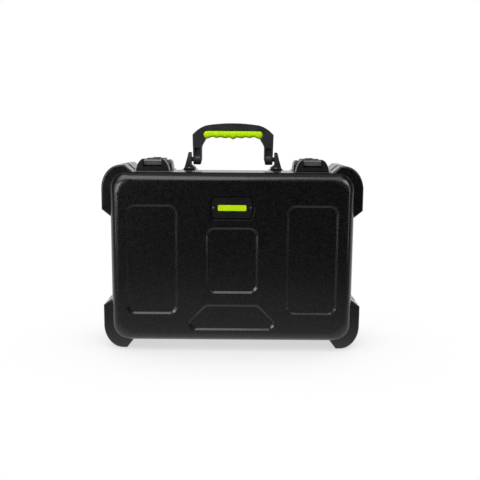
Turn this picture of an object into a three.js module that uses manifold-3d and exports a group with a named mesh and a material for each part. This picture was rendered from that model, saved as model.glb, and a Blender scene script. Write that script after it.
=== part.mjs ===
// A hard microphone case, standing on its hinge side as it is carried: two deep moulded
// shells with corner bumpers, an aluminium tongue-and-groove frame between them, foam
// for six microphones, two hinges, two draw latches with key locks and a swing handle.
// Lengths are millimetres. X runs across the case, Y from the lid to the back, Z up.

import * as THREE from "three";
import { mergeVertices } from "three/addons/utils/BufferGeometryUtils.js";
import Module from "manifold-3d";

const wasm = await Module();
wasm.setup();

// The case as a whole
const CASE_WIDTH = 458; // across the corner bumpers
const CASE_HEIGHT = 328; // from the lower bumpers to the upper ones
const LID_DEPTH = 64;
const BASE_DEPTH = 101;
const SIDE_PROUD = 15.5; // how far the bumpers stand out of the shells' rims
const FOOT_PROUD = 16;
const TOP_PROUD = 10.5;
const RIM_RADIUS = 29.5;
const LID_DRAFT = 3.5; // how far each wall leans in from its rim to its face
const BASE_DRAFT = 5;
const EDGE_RADIUS = 9; // round edge between the walls and the face
const WALL = 3.5;

// Clearances and cutting
const SEAT = 0.3; // gap between pieces that rest on each other
const RUNNING = 0.4; // radial gap of a turning pin
const OVERRUN = 2; // how far a cutting tool passes the surface it cuts
const CORNER_STEPS = 3; // curve divisions of a large corner, and of a small one
const SMALL_STEPS = 2;
const EDGE_STEPS = 3;
const ROUND_STEPS = 12;
const PIN_STEPS = 8;
const RIVET_STEPS = 8;
const LEAST_ROUNDED_TURN = 35; // degrees: an outline's shallower corners stay plain

// Places that everything else is measured from
const FRONT_Y = -(LID_DEPTH + BASE_DEPTH) / 2;
const PARTING_Y = FRONT_Y + LID_DEPTH;
const BACK_Y = PARTING_Y + BASE_DEPTH;
const CASE_HALF = CASE_WIDTH / 2;
const RIM_HALF = CASE_HALF - SIDE_PROUD;
const RIM_BOTTOM = FOOT_PROUD;
const RIM_TOP = CASE_HEIGHT - TOP_PROUD;

// Aluminium frames in the shells' mouths
const FLANGE = 2; // covers the shell's rim
const FLANGE_REACH = 11;
const WEB = 1.8;
const WEB_REACH = 14;
const GROOVE_WIDTH = 3.6;
const GROOVE_DEPTH = 7;
const TONGUE = 1.6;
const TONGUE_REACH = 3.8;
const SEAL_THICKNESS = 2.6;

// Corner bumpers
const BUMPER_INSET = 18; // from the face of the shell to the bumper
const BUMPER_RIM_GAP = 2;
const BUMPER_BEVEL = 3;
const BUMPER_LENGTH = 78; // along the side, before its end slope
const BUMPER_WIDTH = 41; // along the top or bottom, before its end slope
const BUMPER_SLOPE = 12.5;
const BUMPER_ARC_X = 34;
const BUMPER_ARC_Z = 42;

// Recessed panels of the lid's face
const PANEL_DEPTH = 3;
const PANEL_SLOPE = 2.6; // how far a panel's wall leans in on its way down
const PANEL_RADIUS = 14;
const SIDE_PANEL_IN = 95;
const SIDE_PANEL_MARGIN = 44.5; // from the bumpers' side to the panel
const SIDE_PANEL_BOTTOM = 67;
const SIDE_PANEL_TOP = 261;
const MID_PANEL_HALF = 45.5;
const MID_PANEL_BOTTOM = 105;
const MID_PANEL_TOP = 222;
const SILL_TOP = 85;
const SILL_BOTTOM = 38;
const SILL_SHOULDER = 51;
const SILL_TOP_HALF = 47;
const SILL_SHOULDER_HALF = 78;
const SILL_BOTTOM_HALF = 70;
const SILL_RADIUS = 6;
const BACK_PANEL_TOP = 261;

// Badge
const BADGE_HALF = 34;
const BADGE_BULGE = 4.5;
const BADGE_BOTTOM = 235;
const BADGE_TOP = 276.5;
const BADGE_THICKNESS = 1.2;
const BADGE_MARGIN = 3.4;
const BADGE_PIN_X = 32;
const BADGE_PIN_HEAD = 2.1;
const BADGE_PIN_RISE = 0.9;
const BADGE_PIN_SHANK = 0.9;
const BADGE_PIN_LENGTH = 4.2;

// Rivets
const RIVET_HEAD = 3.4;
const RIVET_RISE = 1.5;
const RIVET_SHANK = 1.6;
const RIVET_TAIL = 2.6;
const RIVET_TAIL_RISE = 1.2;
const RIVET_HOLE_GAP = 0.35;

// Foam
const FOAM_SIDE_GAP = 3.4;
const FOAM_SINK = 9.9; // from the parting plane down to the insert's front
const INSERT_THICKNESS = 50;
const SLOT_PITCH = 62;
const SLOT_END_WALL = 16.85; // foam beyond a slot's ends
const SLOT_BODY_HALF = 21;
const SLOT_HEAD_HALF = 27.5;
const SLOT_HEAD_LENGTH = 76;
const SLOT_SHOULDER = 12;
const SLOT_RADIUS = 8;
const LID_FOAM_SINK = 5.2; // from the parting plane down to the peaks of the lid's foam
const LID_FOAM_WAVE = 12;
const LID_FOAM_PITCH = 46;

// Hinges
const HINGE_IN = 107; // from the bumpers' side to the middle of a hinge
const HINGE_LENGTH = 76;
const HINGE_LEAF = 24;
const HINGE_PLATE = 1.6;
const HINGE_BARREL = 4;
const HINGE_PIN = 1.9;
const HINGE_KNUCKLES = 5;
const KNUCKLE_GAP = 0.5;
const HINGE_RIVET_IN = 12; // from a leaf's end to its rivets
const HINGE_RIVET_Y = 18;
const PAD_MARGIN = 3;
const PAD_BEVEL = 1;
const LID_OPEN_ANGLE = 100;
const NOTCH_RISE = 2.3; // the bumper notch starts this far above the hinge axis
const NOTCH_SPARE_ANGLE = 4;

// Handle
const HANDLE_Y = 34; // behind the parting plane
const PIVOT_RISE = 18.3; // above the rim
const PIVOT_RADIUS = 4.2;
const HANDLE_SIDE_GAP = 2.1; // between the handle and its brackets
const LEG_TAPER = 1.5; // how far a leg's outer edge draws in at its foot
const LEG_WIDTH = 15.4;
const HANDLE_TOE = 2.4; // how far the leg's inner edge turns out at its foot
const HUB_RADIUS = 10;
const HANDLE_HALF_DEPTH = 11;
const HANDLE_BEVEL = 2.6;
const HANDLE_CORNER_RISE = 44.6; // heights above the pivot
const HANDLE_SHOULDER_RISE = 61.9;
const HANDLE_CROWN_RISE = 65.4;
const SHOULDER_RUN = 27.9; // how far the handle's rounded shoulder reaches in
const SHOULDER_BEND_IN = 13; // where the tangents at the shoulder's two ends meet
const SHOULDER_BEND_RISE = 14.3;
const HANDLE_KNEE_RISE = 23.6;
const LEG_POCKET_LOW = 0;
const LEG_POCKET_HIGH = 20.5;
const LEG_POCKET_DEPTH = 5;
const LEG_POCKET_MARGIN = 2.6;
const HUB_BOSS_IN = 0.6; // how far the pivot's boss lies inside the leg's rounded foot

// Finger grip
const GRIP_IN = 2.5; // from the leg's inner edge to the grip's end
const GRIP_TOP_RISE = 51.9;
const GRIP_END_RISE = 37;
const GRIP_END_IN = 5.5;
const GRIP_ARCH = 3.1; // how far the finger hollows lie above the grip's end lobes
const GRIP_ARCH_RUN = 10;
const GRIP_SAG = 1.6; // how much lower the middle hollows lie than the outer ones
const GRIP_WAVE = 0.85;
const GRIP_KEEL = 1.3;
const FINGER_PITCH = 15.2;
const GRIP_STEPS = 32;
const GRIP_END_STEPS = 3;
const GRIP_HALF_DEPTH = 12.4;
const GRIP_CORNER = 5.5;
const CORE_HALF_DEPTH = 6;
const CORE_RISE = 43.5;
const CORE_LAP = 1.5;

// Handle brackets
const BRACKET_SIDE_GAP = 18.7; // between a bracket and the latch beside it
const BRACKET_WIDTH = 14.3;
const BRACKET_TOP_WIDTH = 5.6;
const BRACKET_TOE_REACH = 7;
const BRACKET_RISE = 31;
const BRACKET_SHOULDER = 16;
const BRACKET_FOOT = 3;
const BRACKET_FOOT_HALF = 22;
const BRACKET_FIN_HALF = 12.4;
const BRACKET_CROWN = 9;
const BRACKET_RIVET_Y = 16.8;
const BRACKET_RIVET_IN = 3;
const PIVOT_IN_LEG = 12;
const PIVOT_IN_BRACKET = 5;

// Latches: heights are above the rim, distances behind the parting plane
const LATCH_IN = 89; // from the bumpers' side to the middle of a latch
const LATCH_FLOOR = 2.6;
const KEEPER_FRONT = -36;
const KEEPER_BACK = -11.2;
const KEEPER_FOOT = -5;
const KEEPER_HALF = 29.3;
const KEEPER_TOP_HALF = 18.4;
const KEEPER_RISE = 20.5;
const KEEPER_SHOULDER_HALF = 27.6;
const KEEPER_SHOULDER_RISE = 7;
const FLANK_SWELL = 1.6; // how far the latches' flanks bulge
const KEEPER_NOTCH_HALF = 16.7;
const KEEPER_SILL = 7;
const KEEPER_FRONT_WALL = 3;
const KEEPER_BEVEL = 1;
const BAR_FRONT = -27.4;
const BAR_THICKNESS = 4.4;
const BAR_RISE = 14.5;
const KEEPER_RIVET_Y = -17;
const KEEPER_RIVET_X = 9;
const HOUSING_FRONT = 4;
const HOUSING_BACK = 48;
const HOUSING_HALF = 31;
const HOUSING_TOP_HALF = 25.6;
const HOUSING_SHOULDER_HALF = 29.6;
const HOUSING_SHOULDER_RISE = 8.5;
const HOUSING_RISE = 17.5;
const HOUSING_TROUGH_HALF = 22;
const HOUSING_FRONT_RISE = 9;
const HOUSING_BACK_RISE = 8;
const HOUSING_FRONT_RUN = 5;
const HOUSING_BACK_RUN = 9;
const HOUSING_RIVET_Y = 34;
const HOUSING_RIVET_X = 15;
const LEVER_PIVOT_Y = 14;
const LEVER_PIVOT_RISE = 8.5;
const LEVER_PIN = 2.2;
const LEVER_PIN_HALF = 27;
const LEVER_HALF = 17.3;
const LEVER_HUB = 5.3;
const LEVER_TOP = 20;
const LEVER_UNDERSIDE = 12;
const LEVER_NOSE_Y = 19;
const LEVER_BACK = 50;
const LEVER_TIP = 54.5;
const LEVER_TIP_FALL = 4;
const LEVER_TIP_EDGE = 3;
const LEVER_HEEL_Y = 29;
const LEVER_BEVEL = 0.8;
const LINK_RADIUS = 9; // from the lever's pivot to the hook's pivot
const LINK_ANGLE = -8; // over centre
const LINK_BOSS = 4.2;
const LINK_PIN = 2;
const LINK_PIN_HALF = 21.3;
const HOOK_HALF = 15.5;
const HOOK_ARM_IN = 18;
const HOOK_ARM_OUT = 21.4;
const HOOK_PLATE_LOW = 16;
const HOOK_PLATE_HIGH = 19.5;
const HOOK_CROWN = 20.4;
const HOOK_NOSE = -31.4;
const HOOK_NOSE_RADIUS = 4;
const HOOK_LIP_LOW = 10.5;
const HOOK_LIP_GAP = 0.5;
const HOOK_YOKE_FRONT = -10;
const HOOK_YOKE_BACK = -4.1;
const HOOK_ARM_BEND = 13.5;
const HOOK_ARM_UNDER = 12;
const LOCK_Y = 38;
const LOCK_RADIUS = 6;
const LOCK_FLANGE = 7.4;
const LOCK_FLANGE_RISE = 1;
const LOCK_CAM_LENGTH = 7.5;
const LOCK_CAM_HALF = 2.5;
const LOCK_CAM_THICKNESS = 2.4;
const KEYWAY_HALF = 0.7;
const KEYWAY_LENGTH_HALF = 3.4;
const KEYWAY_DEPTH = 3;

// Places across the case, from its side inwards
const HINGE_X = CASE_HALF - HINGE_IN;
const HINGE_RIVET_X = HINGE_LENGTH / 2 - HINGE_RIVET_IN;
const LATCH_X = CASE_HALF - LATCH_IN;
const SIDE_PANEL_OUT = CASE_HALF - SIDE_PANEL_MARGIN;
const BRACKET_OUTER = LATCH_X - HOUSING_HALF - BRACKET_SIDE_GAP;
const BRACKET_INNER = BRACKET_OUTER - BRACKET_WIDTH;
const BRACKET_TOE = BRACKET_INNER - BRACKET_TOE_REACH;
const BRACKET_RIVET_X = BRACKET_INNER + BRACKET_RIVET_IN;
const HANDLE_OUTER_HALF = BRACKET_INNER - HANDLE_SIDE_GAP;
const HANDLE_FOOT_HALF = HANDLE_OUTER_HALF - LEG_TAPER;
const HANDLE_INNER_HALF = HANDLE_FOOT_HALF - LEG_WIDTH;
const HANDLE_SHOULDER_HALF = HANDLE_OUTER_HALF - SHOULDER_RUN;
const GRIP_HALF = HANDLE_INNER_HALF - GRIP_IN;
const GRIP_FINGERS = Math.floor((2 * (GRIP_HALF - GRIP_END_IN)) / FINGER_PITCH);

// Finishes
function finish(color, roughness, metalness) {
  return new THREE.MeshStandardMaterial({ color, roughness, metalness });
}
const shellPlastic = finish(0x1b1b1e, 0.55, 0);
const handlePlastic = finish(0x2a2a2e, 0.5, 0);
const gripRubber = finish(0x9ccb05, 0.6, 0);
const frameMetal = finish(0x2b2b2d, 0.4, 0.8);
const latchMetal = finish(0x202022, 0.35, 0.6);
const hookMetal = finish(0x5a5a5e, 0.3, 0.9);
const steel = finish(0x9a9a9e, 0.3, 1);
const sealRubber = finish(0x121212, 0.8, 0);
const foam = finish(0x1e1e20, 0.95, 0);

// Solids: a closed geometry becomes a solid, and back
function solidOf(geometry) {
  const bare = geometry.clone();
  bare.deleteAttribute("normal");
  bare.deleteAttribute("uv");
  const merged = mergeVertices(bare);
  const vertProperties = merged.attributes.position.array;
  const triVerts = new Uint32Array(merged.index.array);
  return new wasm.Manifold(new wasm.Mesh({ numProp: 3, vertProperties, triVerts }));
}

function geometryOf(solid) {
  const mesh = solid.getMesh();
  const geometry = new THREE.BufferGeometry();
  geometry.setAttribute("position", new THREE.BufferAttribute(mesh.vertProperties, 3));
  geometry.setIndex(new THREE.BufferAttribute(mesh.triVerts, 1));
  const flat = geometry.toNonIndexed();
  flat.computeVertexNormals();
  return flat;
}

function joined(first, ...others) {
  return others.reduce((whole, other) => whole.add(other), first);
}

function cutBy(first, ...tools) {
  return tools.reduce((rest, tool) => rest.subtract(tool), first);
}

// Outlines
function roundedPolygon(corners, radius) {
  const shape = new THREE.Shape();
  corners.forEach((corner, i) => {
    const before = corners[(i + corners.length - 1) % corners.length];
    const after = corners[(i + 1) % corners.length];
    const arriving = corner.clone().sub(before).normalize();
    const leaving = after.clone().sub(corner).normalize();
    const turn = Math.atan2(arriving.cross(leaving), arriving.dot(leaving));
    if (Math.abs(turn) < THREE.MathUtils.degToRad(LEAST_ROUNDED_TURN)) {
      if (i > 0) shape.lineTo(corner.x, corner.y);
      else shape.moveTo(corner.x, corner.y);
      return;
    }
    const side = Math.sign(turn);
    const start = corner.clone().addScaledVector(arriving, -radius * Math.tan(Math.abs(turn) / 2));
    const inward = new THREE.Vector2(-arriving.y, arriving.x).multiplyScalar(side);
    const centre = start.clone().addScaledVector(inward, radius);
    const from = Math.atan2(-inward.y, -inward.x);
    shape.absarc(centre.x, centre.y, radius, from, from + turn, side < 0);
  });
  return shape;
}

function corners(...pairs) {
  return pairs.map(([across, up]) => new THREE.Vector2(across, up));
}

// The same polygon with every edge moved inwards
function insetCorners(points, inset) {
  const edges = points.map((point, i) => {
    const direction = points[(i + 1) % points.length].clone().sub(point).normalize();
    const inward = new THREE.Vector2(-direction.y, direction.x);
    return { point: point.clone().addScaledVector(inward, inset), direction };
  });
  return edges.map((edge, i) => {
    const before = edges[(i + edges.length - 1) % edges.length];
    const gap = edge.point.clone().sub(before.point);
    const along = gap.cross(edge.direction) / before.direction.cross(edge.direction);
    return before.point.clone().addScaledVector(before.direction, along);
  });
}

function rectangle(left, bottom, right, top) {
  return corners([left, bottom], [right, bottom], [right, top], [left, top]);
}

function polygon(points) {
  return new THREE.Shape(points);
}

function rimOutline(inset) {
  const box = rectangle(-RIM_HALF + inset, RIM_BOTTOM + inset, RIM_HALF - inset, RIM_TOP - inset);
  return roundedPolygon(box, Math.max(RIM_RADIUS - inset, EDGE_RADIUS));
}

// Solids from outlines
function loft(sections, steps = CORNER_STEPS) {
  const rings = sections.map(({ shape, y }) =>
    shape.getPoints(steps).map((point) => new THREE.Vector3(point.x, y, point.y)),
  );
  const count = rings[0].length;
  const flatRing = sections[0].shape.getPoints(steps);
  const cap = THREE.ShapeUtils.triangulateShape(flatRing, []);
  const faces = [];
  for (const [a, b, c] of cap) faces.push(a, b, c);
  rings.slice(1).forEach((_, level) => {
    for (let i = 0; i < count; i++) {
      const next = (i + 1) % count;
      const low = level * count;
      const high = low + count;
      faces.push(low + i, high + i, high + next, low + i, high + next, low + next);
    }
  });
  const last = (rings.length - 1) * count;
  for (const [a, b, c] of cap) faces.push(last + a, last + c, last + b);
  const forward = sections.at(-1).y > sections[0].y;
  const geometry = new THREE.BufferGeometry().setFromPoints(rings.flat());
  geometry.setIndex(forward ? faces : faces.reverse());
  return solidOf(geometry);
}

// Directions that an outline is extruded in: its own x and y, then the way it goes
const ALONG_X = new THREE.Matrix4().makeBasis(
  new THREE.Vector3(0, 1, 0),
  new THREE.Vector3(0, 0, 1),
  new THREE.Vector3(1, 0, 0),
);
const ALONG_MINUS_Y = new THREE.Matrix4().makeBasis(
  new THREE.Vector3(1, 0, 0),
  new THREE.Vector3(0, 0, 1),
  new THREE.Vector3(0, -1, 0),
);

function extruded(shape, length, bevel, steps = CORNER_STEPS) {
  return new THREE.ExtrudeGeometry(shape, {
    depth: length - 2 * bevel,
    curveSegments: steps,
    bevelEnabled: bevel > 0,
    bevelThickness: bevel,
    bevelSize: bevel,
    bevelOffset: -bevel,
    bevelSegments: 1,
  }).translate(0, 0, bevel);
}

function prismX(shape, from, to, bevel = 0) {
  return solidOf(extruded(shape, to - from, bevel).applyMatrix4(ALONG_X).translate(from, 0, 0));
}

function prismY(shape, from, to, bevel = 0, steps = CORNER_STEPS) {
  const geometry = extruded(shape, to - from, bevel, steps);
  return solidOf(geometry.applyMatrix4(ALONG_MINUS_Y).translate(0, to, 0));
}

function prismZ(shape, from, to, bevel = 0) {
  return solidOf(extruded(shape, to - from, bevel).translate(0, 0, from));
}

function box(x0, x1, y0, y1, z0, z1) {
  return prismZ(polygon(rectangle(x0, y0, x1, y1)), z0, z1);
}

function rodX(radius, from, to, y, z, steps = ROUND_STEPS) {
  const rod = new THREE.CylinderGeometry(radius, radius, to - from, steps);
  return solidOf(rod.rotateZ(Math.PI / 2).translate((from + to) / 2, y, z));
}

function rodZ(radius, from, to, x, y, steps = ROUND_STEPS) {
  const rod = new THREE.CylinderGeometry(radius, radius, to - from, steps);
  return solidOf(rod.rotateX(Math.PI / 2).translate(x, y, (from + to) / 2));
}

function rodY(radius, from, to, x, z, steps = ROUND_STEPS) {
  const rod = new THREE.CylinderGeometry(radius, radius, to - from, steps);
  return solidOf(rod.translate(x, (from + to) / 2, z));
}

// Fasteners stand along Z: the head sits on zero and the shank hangs below
function headProfile(head, rise, shank) {
  return [
    new THREE.Vector2(shank, 0),
    new THREE.Vector2(head, 0),
    new THREE.Vector2(head * Math.cos(Math.PI / 4), rise * Math.sin(Math.PI / 4)),
    new THREE.Vector2(0, rise),
  ];
}

// A rivet that is closed inside the wall by a low cone
function rivet(grip) {
  const profile = [
    new THREE.Vector2(0, -grip - RIVET_TAIL_RISE),
    new THREE.Vector2(RIVET_TAIL, -grip),
    new THREE.Vector2(RIVET_SHANK, -grip),
    ...headProfile(RIVET_HEAD, RIVET_RISE, RIVET_SHANK),
  ];
  return new THREE.LatheGeometry(profile, RIVET_STEPS).rotateX(Math.PI / 2);
}

// A small pin that is driven into a blind hole
function drivePin(length) {
  const profile = [
    new THREE.Vector2(0, -length),
    new THREE.Vector2(BADGE_PIN_SHANK, -length),
    ...headProfile(BADGE_PIN_HEAD, BADGE_PIN_RISE, BADGE_PIN_SHANK),
  ];
  return new THREE.LatheGeometry(profile, RIVET_STEPS).rotateX(Math.PI / 2);
}

// The model
const microphoneCase = new THREE.Group();
const lidGroup = new THREE.Group();
const baseGroup = new THREE.Group();
microphoneCase.add(baseGroup, lidGroup);

function addPiece(group, name, shape, material) {
  const geometry = shape.isBufferGeometry ? shape : geometryOf(shape);
  const mesh = new THREE.Mesh(geometry, material);
  mesh.name = name;
  group.add(mesh);
  return mesh;
}

const SIDES = [
  { side: "left", sign: -1 },
  { side: "right", sign: 1 },
];

// Shells
const RIM_START = SEAT / 2 + FLANGE + SEAT; // from the parting plane to a shell's rim
const HINGE_Z = RIM_BOTTOM - SEAT - HINGE_BARREL;

// One skin of a shell: way is -1 for the lid and 1 for the base, offset its depth in the wall
function shellSkin(way, depth, draft, offset, start) {
  const sections = [{ y: PARTING_Y + way * start, inset: offset + (draft * start) / depth }];
  const radius = EDGE_RADIUS - offset;
  for (let step = 0; step <= EDGE_STEPS; step++) {
    const angle = ((step / EDGE_STEPS) * Math.PI) / 2;
    const down = depth - offset - radius + radius * Math.sin(angle);
    const inset = offset + (draft * down) / depth + radius * (1 - Math.cos(angle));
    sections.push({ y: PARTING_Y + way * down, inset });
  }
  return loft(sections.map(({ y, inset }) => ({ y, shape: rimOutline(inset) })));
}

// The outline of one bumper, with its inner edge well inside the shell
function bumperOutline(across, up) {
  const outerX = CASE_HALF;
  const outerZ = CASE_HEIGHT / 2;
  const endProud = up > 0 ? TOP_PROUD : FOOT_PROUD;
  const depthX = outerX - SIDE_PROUD - RIM_RADIUS;
  const slopeX = BUMPER_SLOPE + (BUMPER_INSET * BUMPER_SLOPE) / BUMPER_LENGTH;
  const shape = new THREE.Shape();
  shape.moveTo(outerX, outerZ - BUMPER_LENGTH);
  shape.lineTo(outerX, outerZ - BUMPER_ARC_Z);
  shape.absellipse(outerX - BUMPER_ARC_X, outerZ - BUMPER_ARC_Z, BUMPER_ARC_X, BUMPER_ARC_Z, 0, Math.PI / 2);
  shape.lineTo(outerX - BUMPER_WIDTH, outerZ);
  shape.lineTo(outerX - BUMPER_WIDTH - BUMPER_SLOPE, outerZ - endProud);
  shape.lineTo(outerX - BUMPER_WIDTH - slopeX, outerZ - endProud - RIM_RADIUS);
  shape.lineTo(depthX, outerZ - BUMPER_LENGTH - slopeX);
  shape.lineTo(outerX - SIDE_PROUD, outerZ - BUMPER_LENGTH - BUMPER_SLOPE);
  const points = shape.getPoints(CORNER_STEPS);
  const placed = points.map((point) => new THREE.Vector2(point.x * across, point.y * up + outerZ));
  return polygon(across * up > 0 ? placed : placed.reverse());
}

// The gap under the hinge that lets the lower bumpers pass each other as the lid opens
function bumperNotch() {
  const top = HINGE_Z + NOTCH_RISE;
  const halfAngle = THREE.MathUtils.degToRad(LID_OPEN_ANGLE / 2 + NOTCH_SPARE_ANGLE);
  const half = (top + OVERRUN) * Math.tan(halfAngle);
  const wedge = corners([PARTING_Y - half, -OVERRUN], [PARTING_Y + half, -OVERRUN], [PARTING_Y, top]);
  return prismX(polygon(wedge), -CASE_WIDTH, CASE_WIDTH);
}

// A flat land under hardware, from the wall out to the level of the rim
function land(x0, x1, from, to, top) {
  const reach = RIM_START + WALL;
  const bottom = top ? RIM_TOP - reach : RIM_BOTTOM;
  const outline = polygon(rectangle(x0, bottom, x1, bottom + reach));
  return prismY(outline, PARTING_Y + from, PARTING_Y + to, PAD_BEVEL);
}

function shellLands(way) {
  const lands = [];
  const hingeEnd = HINGE_LEAF + PAD_MARGIN;
  const latchEnd = way < 0 ? -KEEPER_FRONT + PAD_MARGIN : HOUSING_BACK + PAD_MARGIN;
  const latchHalf = (way < 0 ? KEEPER_HALF : HOUSING_HALF) + PAD_MARGIN;
  const span = (end) => (way < 0 ? [-end, -RIM_START] : [RIM_START, end]);
  for (const { sign } of SIDES) {
    const hingeHalf = HINGE_LENGTH / 2 + PAD_MARGIN;
    lands.push(land(sign * HINGE_X - hingeHalf, sign * HINGE_X + hingeHalf, ...span(hingeEnd), false));
    lands.push(land(sign * LATCH_X - latchHalf, sign * LATCH_X + latchHalf, ...span(latchEnd), true));
  }
  if (way > 0) {
    const end = HANDLE_Y + BRACKET_FOOT_HALF + PAD_MARGIN;
    for (const { sign } of SIDES) {
      const edges = [sign * (BRACKET_TOE - PAD_MARGIN), sign * (BRACKET_OUTER + PAD_MARGIN)];
      lands.push(land(Math.min(...edges), Math.max(...edges), RIM_START, end, true));
    }
  }
  return lands;
}

// A recess in a shell's face, and the pad behind it that keeps the wall's thickness
function panel(way, outlineAt) {
  const face = way < 0 ? FRONT_Y : BACK_Y;
  const inner = -way;
  const recess = loft(
    [
      { y: face - inner * OVERRUN, shape: outlineAt(0) },
      { y: face, shape: outlineAt(0) },
      { y: face + inner * PANEL_DEPTH, shape: outlineAt(PANEL_SLOPE) },
    ],
    SMALL_STEPS,
  );
  const backing = loft(
    [
      { y: face, shape: outlineAt(-WALL) },
      { y: face + inner * (PANEL_DEPTH + WALL), shape: outlineAt(PANEL_SLOPE - WALL) },
    ],
    SMALL_STEPS,
  );
  return { recess, backing };
}

function panelOutline(points, radius) {
  return (inset) => roundedPolygon(insetCorners(points, inset), radius - Math.min(inset, radius / 2));
}

function badgeOutline(inset) {
  const half = BADGE_HALF - inset;
  const middle = (BADGE_TOP + BADGE_BOTTOM) / 2;
  const rise = (BADGE_TOP - BADGE_BOTTOM) / 2 - inset;
  const radius = (rise * rise + BADGE_BULGE * BADGE_BULGE) / (2 * BADGE_BULGE);
  const sweep = Math.asin(rise / radius);
  const centre = half + BADGE_BULGE - radius;
  const shape = new THREE.Shape();
  shape.absarc(centre, middle, radius, -sweep, sweep, false);
  shape.absarc(-centre, middle, radius, Math.PI - sweep, Math.PI + sweep, false);
  return shape;
}

const SIDE_PANELS = SIDES.map(({ sign }) => {
  const edges = [sign * SIDE_PANEL_IN, sign * SIDE_PANEL_OUT];
  return rectangle(Math.min(...edges), SIDE_PANEL_BOTTOM, Math.max(...edges), SIDE_PANEL_TOP);
});
const SILL = corners(
  [-SILL_BOTTOM_HALF, SILL_BOTTOM],
  [SILL_BOTTOM_HALF, SILL_BOTTOM],
  [SILL_SHOULDER_HALF, SILL_SHOULDER],
  [SILL_TOP_HALF, SILL_TOP],
  [-SILL_TOP_HALF, SILL_TOP],
  [-SILL_SHOULDER_HALF, SILL_SHOULDER],
);
const MID_PANEL = rectangle(-MID_PANEL_HALF, MID_PANEL_BOTTOM, MID_PANEL_HALF, MID_PANEL_TOP);
const BACK_MID_PANEL = rectangle(-MID_PANEL_HALF, SIDE_PANEL_BOTTOM, MID_PANEL_HALF, BACK_PANEL_TOP);

function shell(way, depth, draft, panels) {
  const outer = shellSkin(way, depth, draft, 0, RIM_START);
  const cavity = shellSkin(way, depth, draft, WALL, RIM_START - OVERRUN);
  const face = PARTING_Y + way * (depth - BUMPER_INSET);
  const rim = PARTING_Y + way * (RIM_START + BUMPER_RIM_GAP);
  const bumpers = [-1, 1].flatMap((across) =>
    [-1, 1].map((up) =>
      prismY(bumperOutline(across, up), Math.min(face, rim), Math.max(face, rim), BUMPER_BEVEL),
    ),
  );
  const hollow = cutBy(cavity, ...panels.map(({ backing }) => backing));
  const body = joined(outer, ...bumpers, ...shellLands(way));
  return cutBy(body, hollow, bumperNotch(), ...panels.map(({ recess }) => recess));
}

const lidPanels = [
  ...SIDE_PANELS.map((points) => panel(-1, panelOutline(points, PANEL_RADIUS))),
  panel(-1, panelOutline(MID_PANEL, PANEL_RADIUS)),
  panel(-1, panelOutline(SILL, SILL_RADIUS)),
  panel(-1, badgeOutline),
];
const backPanels = [...SIDE_PANELS, BACK_MID_PANEL].map((points) =>
  panel(1, panelOutline(points, PANEL_RADIUS)),
);

// Rivet holes: each hardware piece lists where it is fastened
function rivetHole(x, y, up) {
  const radius = RIVET_SHANK + RIVET_HOLE_GAP;
  const level = up ? RIM_TOP : RIM_BOTTOM;
  const reach = WALL + LID_DRAFT + BASE_DRAFT;
  return rodZ(radius, level - reach, level + reach, x, PARTING_Y + y, RIVET_STEPS);
}

const keeperRivets = SIDES.flatMap(({ sign, side }) =>
  SIDES.map((end) => ({
    name: `latch_keeper_rivet_${side}_${end.side}`,
    x: sign * LATCH_X + end.sign * KEEPER_RIVET_X,
    y: KEEPER_RIVET_Y,
    level: LATCH_FLOOR,
    up: true,
  })),
);
const housingRivets = SIDES.flatMap(({ sign, side }) =>
  SIDES.map((end) => ({
    name: `latch_housing_rivet_${side}_${end.side}`,
    x: sign * LATCH_X + end.sign * HOUSING_RIVET_X,
    y: HOUSING_RIVET_Y,
    level: LATCH_FLOOR,
    up: true,
  })),
);
const bracketRivets = SIDES.flatMap(({ sign, side }) =>
  [-1, 1].map((end) => ({
    name: `bracket_rivet_${side}_${end < 0 ? "front" : "back"}`,
    x: sign * BRACKET_RIVET_X,
    y: HANDLE_Y + end * BRACKET_RIVET_Y,
    level: BRACKET_FOOT,
    up: true,
  })),
);
function hingeRivets(way, label) {
  return SIDES.flatMap(({ sign, side }) =>
    SIDES.map((end) => ({
      name: `hinge_rivet_${label}_${side}_${end.side}`,
      x: sign * HINGE_X + end.sign * HINGE_RIVET_X,
      y: way * HINGE_RIVET_Y,
      level: SEAT + HINGE_PLATE,
      up: false,
    })),
  );
}
const lidRivets = [...keeperRivets, ...hingeRivets(-1, "lid")];
const baseRivets = [...housingRivets, ...bracketRivets, ...hingeRivets(1, "base")];
const holesOf = (rivets) => rivets.map(({ x, y, up }) => rivetHole(x, y, up));

const badgeHoles = SIDES.map(({ sign }) =>
  rodY(
    BADGE_PIN_SHANK + RIVET_HOLE_GAP,
    FRONT_Y - OVERRUN,
    FRONT_Y + PANEL_DEPTH + BADGE_PIN_LENGTH - BADGE_THICKNESS,
    sign * BADGE_PIN_X,
    (BADGE_TOP + BADGE_BOTTOM) / 2,
    RIVET_STEPS,
  ),
);

addPiece(
  lidGroup,
  "lid_shell",
  cutBy(shell(-1, LID_DEPTH, LID_DRAFT, lidPanels), ...holesOf(lidRivets), ...badgeHoles),
  shellPlastic,
);
addPiece(
  baseGroup,
  "base_shell",
  cutBy(shell(1, BASE_DEPTH, BASE_DRAFT, backPanels), ...holesOf(baseRivets)),
  shellPlastic,
);

// A rivet's grip runs from under its head to just inside the wall, which leans in behind the rim
function addRivets(group, rivets, depth, draft) {
  for (const { name, x, y, level, up } of rivets) {
    const lean = (draft * Math.abs(y)) / depth;
    const mesh = addPiece(group, name, rivet(level + SEAT + WALL + lean + SEAT), steel);
    const rim = up ? RIM_TOP : RIM_BOTTOM;
    mesh.position.set(x, PARTING_Y + y, up ? rim + level + SEAT : rim - level - SEAT);
    if (!up) mesh.rotation.x = Math.PI;
  }
}
addRivets(lidGroup, lidRivets, LID_DEPTH, LID_DRAFT);
addRivets(baseGroup, baseRivets, BASE_DEPTH, BASE_DRAFT);

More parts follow.
